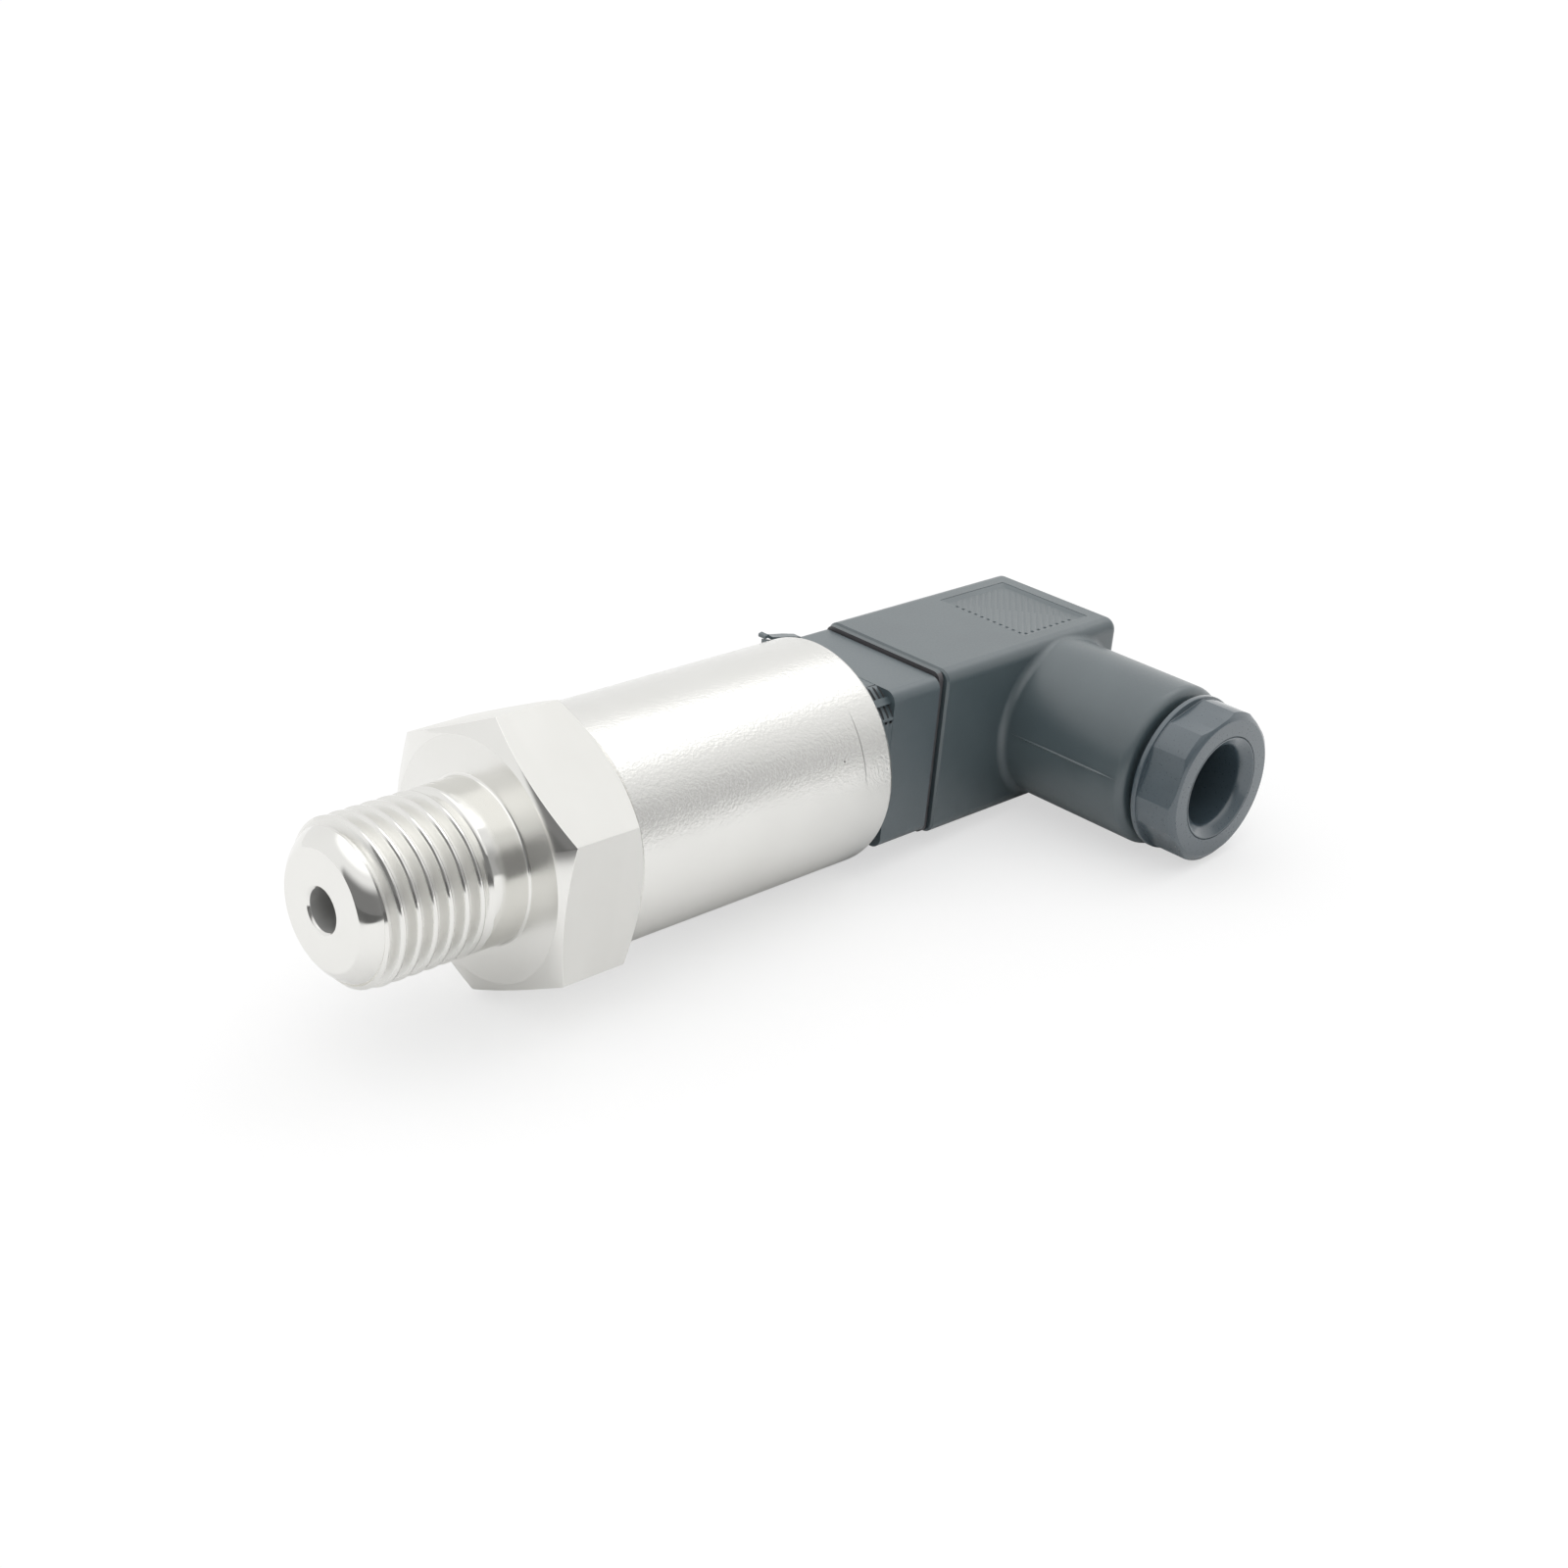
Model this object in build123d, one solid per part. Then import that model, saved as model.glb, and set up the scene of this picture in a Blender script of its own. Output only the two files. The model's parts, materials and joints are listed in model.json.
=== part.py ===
from build123d import *
from math import cos, radians, sqrt, tan
import os

# Pressure transmitter: a turned steel pressure port with a hexagon, a steel sleeve with
# the measuring cell and its board, and a square moulded connector with an angled cable gland.
# Millimetres. The main axis is X, from the threaded nose (-X) to the plug (+X).
# The origin is on that axis, in the plane of the hexagon's front sealing face.
# The gland points along -Y, and +Z is up as the transmitter lies on a table.

# Process connection, thread M14 x 1.5
thread_size = 14.0
nose_reach = 14.7
nose_size = 13.0
nose_round = 1.3
thread_lead = 0.5
thread_pitch = 1.5
thread_depth = 0.85
thread_crest = 0.3
plain_shank = 3.8
inlet_size = 3.6
inlet_edge = 0.2

# Hexagon
across_flats = 22.0
hexagon_length = 8.2
hexagon_turn = 34.2
front_circle = 20.8
front_chamfer_angle = 20.0
rear_circle = 22.6
rear_chamfer_angle = 30.0
collar_length = 0.5
collar_drop = 0.12

# Sleeve
sleeve_size = 21.0
sleeve_wall = 1.0
sleeve_length = 29.2
lip_length = 1.0
lip_depth = 0.8
rim_round = 0.45
sleeve_edge = 0.15

# Measuring cell and what holds it
cell_size = 13.0
cell_length = 6.5
cell_depth = 4.4
chamber_size = 9.6
chamber_length = 1.4
diaphragm_size = 9.0
diaphragm_recess = 0.3
cell_groove_width = 1.9
cell_groove_depth = 1.25
cell_groove_place = 2.4
pin_size = 0.5
pin_root = 1.0
pin_length = 6.2
pin_pitch = 2.0
clamp_size = 15.6
clamp_bore = 9.6
clamp_length = 3.0
clamp_slot_width = 1.6
clamp_slot_depth = 1.2
cup_gap = 0.5

# Boards
board_offset = 2.0
board_width = 15.0
board_thickness = 1.0
end_board_size = 17.6
chip_size = (8.0, 6.0, 1.7)
small_chip_size = (4.0, 3.9, 1.4)
capacitor_size = (1.6, 3.2, 1.3)
capacitor_pitch = 4.0
component_margin = 1.2

# Connector base
block_width = 15.2
block_height = 15.4
block_gap = 2.3
block_length = 6.1
block_round = 1.1
spigot_gap = 0.3
flange_length = 2.4
spigot_length = 4.9
spigot_groove_width = 2.2
spigot_groove_depth = 1.0
neck_play = 0.1
collar_ring_drop = 1.2
collar_rib_count = 24
collar_rib_height = 0.45
collar_rib_width = 0.7
block_edge = 0.15
tab_width = 1.4
tab_thickness = 0.5
tab_rise = 0.7

# Contacts of the connector, four on a cross round the fixing screw
contact_circle = 8.0
blade_width = 2.8
blade_thickness = 0.5
ground_thickness = 0.8
blade_reach = 8.0
tail_width = 1.2
tail_reach = 1.2

# Fixing screw M2.5 and its threaded insert
screw_size = 2.5
screw_head_size = 4.6
screw_head_length = 1.8
screw_slot_width = 0.6
screw_slot_depth = 0.9
screw_engagement = 4.0
insert_size = 4.4
insert_length = 5.5
screw_seal_thickness = 0.8

# Gasket between base and plug
gasket_thickness = 0.8
gasket_inset = 0.7

# Plug housing
plug_width = 15.4
plug_shoulder = 0.4
plug_length = 24.4
plug_round = 1.2
plug_end_round = 0.7
plug_front_edge = 0.2
plug_wall = 1.75
plug_end_wall = 2.2
pillar_wall = 0.8
recess_length = 9.4
recess_width = 10.9
recess_depth = 0.45
recess_margin = 2.0
recess_round = 0.3

# Contact carrier inside the plug
carrier_length = 11.2
carrier_play = 0.1
carrier_front_gap = 0.2
carrier_front_wall = 1.0

# Socket contacts
leaf_thickness = 0.3
leaf_length = 6.4
terminal_length = 2.8
terminal_height = 2.4
terminal_width = 3.2
terminal_screw_size = 1.6
terminal_head_size = 2.4
terminal_head_length = 0.8

# Cable gland
gland_tube_size = 15.5
gland_tube_length = 14.35
gland_tube_margin = 0.3
gland_tube_round = 1.0
gland_tube_blend = 0.8
gland_thread_size = 12.5
gland_thread_depth = 4.5
seal_bore = 11.2
seal_length = 6.6
cable_hole = 5.2
wire_passage = 7.8
washer_thickness = 0.9
washer_bore = 6.8

# Gland nut, thread 12.5 mm with 20 turns to the inch
nut_stand_off = 0.8
nut_flange_size = 14.8
nut_flange_length = 0.5
nut_size = 14.4
nut_across_flats = 13.6
nut_length = 4.0
nut_turn = 13.6
nut_bore = 7.6
nut_mouth_size = 11.5
nut_mouth_depth = 0.95
nut_chamfer = 0.45

# Clearances
slip = 0.05
running = 0.08
free = 0.3

# The plug is as high as the gland tube that leaves it, with a shoulder above and below
plug_height = gland_tube_size + 2 * plug_shoulder

# Places along the main axis
nose_x = -nose_reach
sleeve_x = hexagon_length + collar_length
rim_x = sleeve_x + sleeve_length
cell_x = cell_depth
cell_rear_x = cell_x + cell_length
cup_x = cell_rear_x + clamp_length
board_x = cup_x + cup_gap
block_x = rim_x + block_gap
base_face_x = block_x + block_length
flange_x = rim_x - lip_length - flange_length
spigot_x = flange_x - spigot_length
end_board_x = spigot_x - board_thickness
plug_x = base_face_x + gasket_thickness
plug_rear_x = plug_x + plug_length
cavity_rear_x = plug_rear_x - plug_end_wall
carrier_x = plug_x + carrier_front_gap
carrier_rear_x = carrier_x + carrier_length
screw_head_x = plug_rear_x - screw_head_length
screw_seal_x = screw_head_x - screw_seal_thickness
gland_x = plug_rear_x - gland_tube_size / 2 - gland_tube_margin

# Radii and half sizes
sleeve_r = sleeve_size / 2
sleeve_bore_r = sleeve_r - sleeve_wall
contact_r = contact_circle / 2
spigot_r = sleeve_bore_r - spigot_gap
collar_ring_r = sleeve_r - collar_ring_drop
cavity_half_width = plug_width / 2 - plug_wall
cavity_half_height = plug_height / 2 - plug_wall
screw_hole_r = screw_size / 2 + free
head_hole_r = screw_head_size / 2 + free
pillar_r = head_hole_r + pillar_wall

# Places along the gland, measured from the main axis
tube_end_s = plug_width / 2 + gland_tube_length
nut_flange_s = tube_end_s + nut_stand_off
nut_head_s = nut_flange_s + nut_flange_length
nut_front_s = nut_head_s + nut_length
thread_start_s = tube_end_s - gland_thread_depth
washer_s = thread_start_s - washer_thickness
seal_s = washer_s - seal_length

# The gland's own frame: a piece turned about X is laid along -Y at the gland's place
gland_frame = Pos(gland_x, 0, 0) * Rot(0, 0, -90)


def turned(*points):
    """Solid turned about the X axis from corners given as (place, radius)."""
    return revolve(make_face(Polyline(*points, close=True)), Axis.X)


def rod(size, start, end):
    """Round bar along X between two places."""
    return turned((start, 0), (start, size / 2), (end, size / 2), (end, 0))


def tube(size, bore, start, end):
    """Plain ring along X between two places."""
    return turned((start, bore / 2), (start, size / 2), (end, size / 2), (end, bore / 2))


def torus_ring(inner_r, outer_r, place):
    """Round-section sealing ring between two radii, with its middle at a place on X."""
    section_r = (outer_r - inner_r) / 2
    middle = Pos(place, (inner_r + outer_r) / 2) * Circle(section_r)
    return revolve(middle.faces()[0], Axis.X)


def bar(start, end, width, height, y=0.0, z=0.0):
    """Square-edged block along X, centred on y and z."""
    return Pos((start + end) / 2, y, z) * Box(end - start, width, height)


def rounded_bar(start, end, width, height, corner):
    """Block along X with its four long edges rounded."""
    block = bar(start, end, width, height)
    return fillet(block.edges().filter_by(Axis.X), corner)


def hexagon_bar(flats, start, end, turn):
    """Hexagonal bar along X, its corners turned by an angle from +Y towards +Z."""
    outline = RegularPolygon(flats / 2, 6, major_radius=False, rotation=turn)
    return extrude(Plane.YZ.offset(start) * outline, end - start)


def cross_places():
    """The four contact places: an angle round the main axis, and whether it is the ground."""
    return [(0, False), (90, False), (180, False), (270, True)]


def at_contact(angle, piece):
    """Turn a piece modelled above the main axis (+Z) to its contact place."""
    return Rot(angle, 0, 0) * piece


def thread_grooves(lead_x):
    """Outline points of the process thread as ring grooves, from the nose to the plain shank."""
    crest_r = thread_size / 2
    half_width = (thread_pitch - thread_crest) / 2
    turns = int((-plain_shank - lead_x) / thread_pitch)
    points = []
    for turn in reversed(range(turns)):
        middle = -plain_shank - half_width - turn * thread_pitch
        points.append((middle - half_width, crest_r))
        points.append((middle, crest_r - thread_depth))
        points.append((middle + half_width, crest_r))
    return points


def make_pressure_port():
    corner_r = across_flats / sqrt(3)
    front_drop = (corner_r - front_circle / 2) * tan(radians(front_chamfer_angle))
    rear_drop = (corner_r - rear_circle / 2) * tan(radians(rear_chamfer_angle))
    hexagon = hexagon_bar(across_flats, 0, hexagon_length, hexagon_turn)
    hexagon = hexagon & turned(
        (0, 0),
        (0, front_circle / 2),
        (front_drop, corner_r),
        (hexagon_length - rear_drop, corner_r),
        (hexagon_length, rear_circle / 2),
        (hexagon_length, 0),
    )
    round_x = nose_x + nose_round
    round_r = nose_size / 2 - nose_round
    lead_x = round_x + thread_lead
    half_turn = nose_round * cos(radians(45))
    tip = (nose_x, round_r)
    middle = (round_x - half_turn, round_r + half_turn)
    outline = Line((nose_x, 0), tip)
    outline += ThreePointArc(tip, middle, (round_x, nose_size / 2))
    outline += Polyline(
        (round_x, nose_size / 2),
        (lead_x, thread_size / 2),
        *thread_grooves(lead_x),
        (0, thread_size / 2),
        (0, 0),
        (nose_x, 0),
    )
    shank = revolve(make_face(outline), Axis.X)
    collar = rod(2 * (sleeve_r - collar_drop), hexagon_length, sleeve_x)
    cup = rod(2 * (sleeve_bore_r - slip), sleeve_x, cup_x)
    cell_bore_r = cell_size / 2 + slip
    chamber_x = cell_x - chamber_length
    clamp_r = clamp_size / 2 + slip
    hollow = turned(
        (nose_x, 0),
        (nose_x, inlet_size / 2 + inlet_edge),
        (nose_x + inlet_edge, inlet_size / 2),
        (chamber_x, inlet_size / 2),
        (chamber_x, chamber_size / 2),
        (cell_x, chamber_size / 2),
        (cell_x, cell_bore_r),
        (cell_rear_x, cell_bore_r),
        (cell_rear_x, clamp_r),
        (cup_x, clamp_r),
        (cup_x, 0),
    )
    return (shank + hexagon + collar + cup) - hollow


def make_body_sleeve():
    wall_x = rim_x - lip_length
    lip_r = sleeve_bore_r - lip_depth
    turn = rim_round * cos(radians(45))
    round_x = rim_x - rim_round
    round_r = sleeve_r - rim_round
    outline = Polyline(
        (rim_x, round_r),
        (rim_x, lip_r),
        (wall_x, lip_r),
        (wall_x, sleeve_bore_r),
        (sleeve_x, sleeve_bore_r),
        (sleeve_x, sleeve_r - sleeve_edge),
        (sleeve_x + sleeve_edge, sleeve_r),
        (round_x, sleeve_r),
    )
    outline += ThreePointArc((round_x, sleeve_r), (round_x + turn, round_r + turn), (rim_x, round_r))
    return revolve(make_face(outline), Axis.X)


def pin_places():
    """Places of the cell's pins across the board: three on its top face, two below."""
    reach = (board_thickness + pin_size) / 2
    upper = [(step * pin_pitch, board_offset + reach) for step in (-1, 0, 1)]
    lower = [(step * pin_pitch, board_offset - reach) for step in (-0.5, 0.5)]
    return upper + lower


def make_sensor_cell():
    groove_x = cell_x + cell_groove_place
    groove_r = cell_size / 2 - cell_groove_depth
    cell = turned(
        (cell_x + diaphragm_recess, 0),
        (cell_x + diaphragm_recess, diaphragm_size / 2),
        (cell_x, diaphragm_size / 2),
        (cell_x, cell_size / 2),
        (groove_x, cell_size / 2),
        (groove_x, groove_r),
        (groove_x + cell_groove_width, groove_r),
        (groove_x + cell_groove_width, cell_size / 2),
        (cell_rear_x, cell_size / 2),
        (cell_rear_x, 0),
    )
    for y, z in pin_places():
        cell += Pos(0, y, z) * rod(pin_size, cell_rear_x - pin_root, cell_rear_x + pin_length)
    return cell


def make_cell_seal():
    groove_r = cell_size / 2 - cell_groove_depth
    place = cell_x + cell_groove_place + cell_groove_width / 2
    return torus_ring(groove_r + slip / 2, cell_size / 2 + slip / 2, place)


def make_clamp_ring():
    ring = tube(clamp_size, clamp_bore, cell_rear_x, cup_x)
    slot = bar(cup_x - clamp_slot_depth, cup_x, clamp_slot_width, clamp_size)
    return ring - slot


def make_circuit_board():
    return bar(board_x, end_board_x, board_width, board_thickness, z=board_offset)


def make_signal_chip():
    length, width, height = chip_size
    start = end_board_x - component_margin - length
    place = board_offset + (board_thickness + height) / 2
    return bar(start, start + length, width, height, z=place)


def make_small_chip():
    length, width, height = small_chip_size
    start = end_board_x - component_margin - length
    place = board_offset - (board_thickness + height) / 2
    return bar(start, start + length, width, height, z=place)


def make_board_capacitors():
    length, width, height = capacitor_size
    start = cell_rear_x + pin_length + component_margin / 2
    place = board_offset - (board_thickness + height) / 2
    row = [step * capacitor_pitch for step in (-1, 0, 1)]
    return [bar(start, start + length, width, height, y=y, z=place) for y in row]


def make_end_board():
    board = rod(end_board_size, end_board_x, spigot_x)
    for angle, ground in cross_places():
        thickness = ground_thickness if ground else blade_thickness
        hole = bar(end_board_x, spigot_x, tail_width, thickness, z=contact_r)
        board -= at_contact(angle, hole)
    return board


def make_blade(angle, ground):
    thickness = ground_thickness if ground else blade_thickness
    tail = bar(end_board_x - tail_reach, spigot_x, tail_width, thickness, z=contact_r)
    blade = bar(spigot_x, base_face_x + blade_reach, blade_width, thickness, z=contact_r)
    tip = blade.faces().sort_by(Axis.X)[-1]
    blade = chamfer(tip.edges().filter_by(Axis.Y), thickness / 4)
    return at_contact(angle, tail + blade)


def make_connector_base():
    block = rounded_bar(block_x, base_face_x, block_width, block_height, block_round)
    rear = block.faces().sort_by(Axis.X)[-1]
    block = chamfer(rear.edges(), block_edge)
    lip_r = sleeve_bore_r - lip_depth
    groove_r = spigot_r - spigot_groove_depth
    groove_x = spigot_x + (spigot_length - spigot_groove_width) / 2
    stem = turned(
        (spigot_x, 0),
        (spigot_x, spigot_r),
        (groove_x, spigot_r),
        (groove_x, groove_r),
        (groove_x + spigot_groove_width, groove_r),
        (groove_x + spigot_groove_width, spigot_r),
        (flange_x, spigot_r),
        (flange_x, sleeve_bore_r - slip),
        (rim_x - lip_length, sleeve_bore_r - slip),
        (rim_x - lip_length, lip_r - neck_play),
        (rim_x, lip_r - neck_play),
        (rim_x, collar_ring_r),
        (block_x, collar_ring_r),
        (block_x, 0),
    )
    base = block + stem + make_collar_ribs() + make_corner_tab()
    base -= rod(insert_size + 2 * slip, base_face_x - insert_length, base_face_x)
    for angle, ground in cross_places():
        thickness = ground_thickness if ground else blade_thickness
        slot = bar(spigot_x, base_face_x, blade_width, thickness, z=contact_r)
        base -= at_contact(angle, slot)
    return base


def make_collar_ribs():
    """Ring of short ribs between the sleeve's rim and the square block."""
    rib = bar(rim_x, block_x, collar_rib_width, 2 * collar_rib_height, z=collar_ring_r)
    step = 360 / collar_rib_count
    return [at_contact(count * step, rib) for count in range(collar_rib_count)]


def make_corner_tab():
    """Thin tongue left standing at the block's upper far corner, bent outwards over the rim."""
    root_x = block_x + block_round
    top = block_height / 2
    outline = Polyline(
        (root_x, top - tab_thickness),
        (root_x, top),
        (block_x, top),
        (rim_x, top + tab_rise),
        (rim_x, top + tab_rise - tab_thickness),
        (block_x, top - tab_thickness),
        close=True,
    )
    side = extrude(Plane.XZ * make_face(outline), tab_width)
    return Pos(0, block_width / 2 - block_round + tab_width / 2, 0) * side


def make_base_seal():
    groove_r = spigot_r - spigot_groove_depth
    return torus_ring(groove_r + slip / 2, sleeve_bore_r - slip / 2, spigot_x + spigot_length / 2)


def make_threaded_insert():
    return tube(insert_size, screw_size + 2 * running, base_face_x - insert_length, base_face_x)


def make_plug_gasket():
    width = block_width - 2 * gasket_inset
    height = block_height
    gasket = rounded_bar(base_face_x, plug_x, width, height, block_round - gasket_inset / 2)
    gasket -= rod(2 * screw_hole_r, base_face_x, plug_x)
    for angle, ground in cross_places():
        thickness = ground_thickness if ground else blade_thickness
        slot = bar(base_face_x, plug_x, blade_width + free, thickness + free, z=contact_r)
        gasket -= at_contact(angle, slot)
    return gasket


def tube_root_edges(shell):
    """Edges along which the gland tube leaves the plug's side."""
    tube_r = gland_tube_size / 2
    edges = []
    for edge in shell.edges():
        middle = edge @ 0.5
        from_tube = abs(sqrt((middle.X - gland_x) ** 2 + middle.Z**2) - tube_r)
        if from_tube < slip and -plug_width / 2 - slip < middle.Y < -cavity_half_width + plug_round:
            edges.append(edge)
    return edges


def make_plug_housing():
    shell = rounded_bar(plug_x, plug_rear_x, plug_width, plug_height, plug_round)
    rear = shell.faces().sort_by(Axis.X)[-1]
    shell = fillet(rear.edges(), plug_end_round)
    front = shell.faces().sort_by(Axis.X)[0]
    shell = chamfer(front.edges(), plug_front_edge)
    side_s = plug_width / 2
    round_s = tube_end_s - gland_tube_round
    tube_r = gland_tube_size / 2
    turn = gland_tube_round * cos(radians(45))
    outline = Polyline((round_s, tube_r), (side_s - plug_wall, tube_r), (side_s - plug_wall, 0))
    outline += Polyline((side_s - plug_wall, 0), (tube_end_s, 0), (tube_end_s, tube_r - gland_tube_round))
    outline += ThreePointArc(
        (tube_end_s, tube_r - gland_tube_round),
        (round_s + turn, tube_r - gland_tube_round + turn),
        (round_s, tube_r),
    )
    shell += gland_frame * revolve(make_face(outline), Axis.X)
    shell = fillet(tube_root_edges(shell), gland_tube_blend)
    shell -= bar(plug_x, cavity_rear_x, 2 * cavity_half_width, 2 * cavity_half_height)
    shell -= gland_frame * turned(
        (cavity_half_width, 0),
        (cavity_half_width, wire_passage / 2),
        (seal_s, wire_passage / 2),
        (seal_s, seal_bore / 2),
        (thread_start_s, seal_bore / 2),
        (thread_start_s, gland_thread_size / 2 + running),
        (tube_end_s, gland_thread_size / 2 + running),
        (tube_end_s, 0),
    )
    shell += rod(2 * pillar_r, carrier_rear_x, cavity_rear_x)
    shell -= turned(
        (carrier_rear_x, 0),
        (carrier_rear_x, screw_hole_r),
        (screw_seal_x, screw_hole_r),
        (screw_seal_x, head_hole_r),
        (plug_rear_x, head_hole_r),
        (plug_rear_x, 0),
    )
    recess_x = plug_rear_x - recess_margin - recess_length / 2
    recess = Pos(recess_x, 0, plug_height / 2) * Box(recess_length, recess_width, 2 * recess_depth)
    shell -= fillet(recess.edges().filter_by(Axis.Z), recess_round)
    return shell


def socket_envelope(ground):
    """Height of the slot between a socket contact's leaves."""
    thickness = ground_thickness if ground else blade_thickness
    return thickness + 2 * running


def make_socket_contact(angle, ground):
    gap = socket_envelope(ground)
    start = carrier_x + carrier_front_wall
    root = start + leaf_length
    end = root + terminal_length
    contact = bar(root, end, terminal_width, terminal_height, z=contact_r)
    for side in (-1, 1):
        place = contact_r + side * (gap + leaf_thickness) / 2
        contact += bar(start, root, blade_width, leaf_thickness, z=place)
    contact -= Pos(0, 0, contact_r) * rod(terminal_screw_size + 2 * slip, root, end)
    return at_contact(angle, contact)


def make_terminal_screws():
    root = carrier_x + carrier_front_wall + leaf_length
    end = root + terminal_length
    screws = []
    for angle, ground in cross_places():
        screw = rod(terminal_screw_size, root, end)
        screw += rod(terminal_head_size, end, end + terminal_head_length)
        screws.append(at_contact(angle, Pos(0, 0, contact_r) * screw))
    return screws


def make_contact_carrier():
    width = 2 * (cavity_half_width - carrier_play)
    height = 2 * (cavity_half_height - carrier_play)
    carrier = bar(carrier_x, carrier_rear_x, width, height)
    carrier -= rod(2 * screw_hole_r, carrier_x, carrier_rear_x)
    start = carrier_x + carrier_front_wall
    for angle, ground in cross_places():
        thickness = ground_thickness if ground else blade_thickness
        leaves = socket_envelope(ground) + 2 * leaf_thickness
        root = start + leaf_length
        slot = bar(carrier_x, start, blade_width + free, thickness + free, z=contact_r)
        slot += bar(start, root, blade_width + free, leaves, z=contact_r)
        slot += bar(root, carrier_rear_x, terminal_width, terminal_height, z=contact_r)
        carrier -= at_contact(angle, slot)
    return carrier


def make_fixing_screw():
    tip_x = base_face_x - screw_engagement
    screw = turned(
        (tip_x, 0),
        (tip_x, screw_size / 2),
        (screw_head_x, screw_size / 2),
        (screw_head_x, screw_head_size / 2),
        (plug_rear_x, screw_head_size / 2),
        (plug_rear_x, 0),
    )
    slot = bar(plug_rear_x - screw_slot_depth, plug_rear_x, screw_slot_width, screw_head_size)
    return screw - slot


def make_screw_seal():
    return tube(screw_head_size, screw_size + 2 * running, screw_seal_x, screw_head_x)


def make_gland_seal():
    return gland_frame * tube(seal_bore - 2 * slip, cable_hole, seal_s, washer_s)


def make_gland_washer():
    return gland_frame * tube(seal_bore - 2 * free, washer_bore, washer_s, thread_start_s)


def make_gland_nut():
    head = hexagon_bar(nut_across_flats, nut_head_s, nut_front_s, nut_turn)
    chamfer_s = nut_front_s - nut_chamfer
    head = head & turned(
        (nut_head_s, 0),
        (nut_head_s, nut_size / 2),
        (chamfer_s, nut_size / 2),
        (nut_front_s, nut_size / 2 - nut_chamfer),
        (nut_front_s, 0),
    )
    flange = rod(nut_flange_size, nut_flange_s, nut_head_s)
    spigot = rod(gland_thread_size, thread_start_s, nut_flange_s)
    mouth_s = nut_front_s - nut_mouth_depth
    hollow = turned(
        (thread_start_s, 0),
        (thread_start_s, nut_bore / 2),
        (mouth_s, nut_bore / 2),
        (nut_front_s, nut_mouth_size / 2),
        (nut_front_s, 0),
    )
    return gland_frame * ((head + flange + spigot) - hollow)


def make_all():
    """Every sub-part by its node name, in the order in which it is put together."""
    pieces = {
        "pressure_port": make_pressure_port(),
        "sensor_cell": make_sensor_cell(),
        "cell_seal": make_cell_seal(),
        "clamp_ring": make_clamp_ring(),
        "circuit_board": make_circuit_board(),
        "signal_chip": make_signal_chip(),
        "regulator_chip": make_small_chip(),
        "board_capacitors": Compound(children=make_board_capacitors()),
        "end_board": make_end_board(),
        "body_sleeve": make_body_sleeve(),
        "connector_base": make_connector_base(),
        "base_seal": make_base_seal(),
        "threaded_insert": make_threaded_insert(),
        "plug_gasket": make_plug_gasket(),
        "plug_housing": make_plug_housing(),
        "contact_carrier": make_contact_carrier(),
        "terminal_screws": Compound(children=make_terminal_screws()),
        "screw_seal": make_screw_seal(),
        "fixing_screw": make_fixing_screw(),
        "gland_seal": make_gland_seal(),
        "gland_washer": make_gland_washer(),
        "gland_nut": make_gland_nut(),
    }
    for count, (angle, ground) in enumerate(cross_places(), start=1):
        name = "ground" if ground else str(count)
        pieces["contact_blade_" + name] = make_blade(angle, ground)
        pieces["socket_contact_" + name] = make_socket_contact(angle, ground)
    return pieces


os.makedirs("parts", exist_ok=True)
for node, shape in make_all().items():
    export_step(shape, "parts/" + node + ".step")
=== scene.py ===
import json
import math

import bmesh
import bpy
from mathutils import Matrix, Vector


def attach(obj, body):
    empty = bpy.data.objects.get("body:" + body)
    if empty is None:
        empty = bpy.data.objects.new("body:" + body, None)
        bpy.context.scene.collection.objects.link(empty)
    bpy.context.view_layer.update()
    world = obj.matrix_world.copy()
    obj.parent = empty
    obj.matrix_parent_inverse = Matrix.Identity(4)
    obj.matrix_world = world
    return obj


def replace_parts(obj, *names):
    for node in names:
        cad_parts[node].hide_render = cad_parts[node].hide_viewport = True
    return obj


# Pressure transmitter: turned steel port and sleeve, moulded plug with an angled cable gland.
# Metres. The main axis is X, the gland points along -Y and +Z is up.

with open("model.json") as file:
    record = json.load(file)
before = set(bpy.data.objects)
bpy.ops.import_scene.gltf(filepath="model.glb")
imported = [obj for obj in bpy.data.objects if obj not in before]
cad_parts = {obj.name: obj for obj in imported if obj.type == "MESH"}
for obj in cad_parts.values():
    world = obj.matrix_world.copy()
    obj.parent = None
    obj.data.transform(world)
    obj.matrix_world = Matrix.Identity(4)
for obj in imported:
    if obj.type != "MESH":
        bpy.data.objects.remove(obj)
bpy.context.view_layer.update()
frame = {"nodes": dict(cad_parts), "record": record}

MM = 0.001

# Port, in millimetres from the hexagon's front face, with angles in degrees
NOSE_X = -14.7
NOSE_FACE_R = 5.0
NOSE_BULGE = 3.6
NOSE_TURN = (30, 62)
NOSE_STEPS = 12
NOSE_R = 6.45
THREAD_R = 7.0
THREAD_PITCH = 1.5
THREAD_DEPTH = 0.9
THREAD_START = -13.4
THREAD_LEAD = 0.3
THREAD_END = -0.6
RUN_OUT_START = -4.2
RUN_OUT_END = -3.45
ROOT_ROUND = 0.3
FLATS_R = 11.0
HEXAGON_TURN = 34.2
HEXAGON_EDGE = 0.12
HEXAGON_LENGTH = 8.2
HEXAGON_EDGE_BREAK = 0.1
FRONT_CIRCLE_R = 10.4
FRONT_CHAMFER = 20
REAR_CIRCLE_R = 11.03
REAR_CHAMFER = 33
COLLAR_R = 10.2
SLEEVE_X = 8.7
CUP_R = 9.45
CUP_X = 13.9
CLAMP_R = 7.85
CELL_R = 6.55
CELL_REAR_X = 10.9
CELL_X = 4.4
CHAMBER_R = 4.8
CHAMBER_X = 3.0
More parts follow.
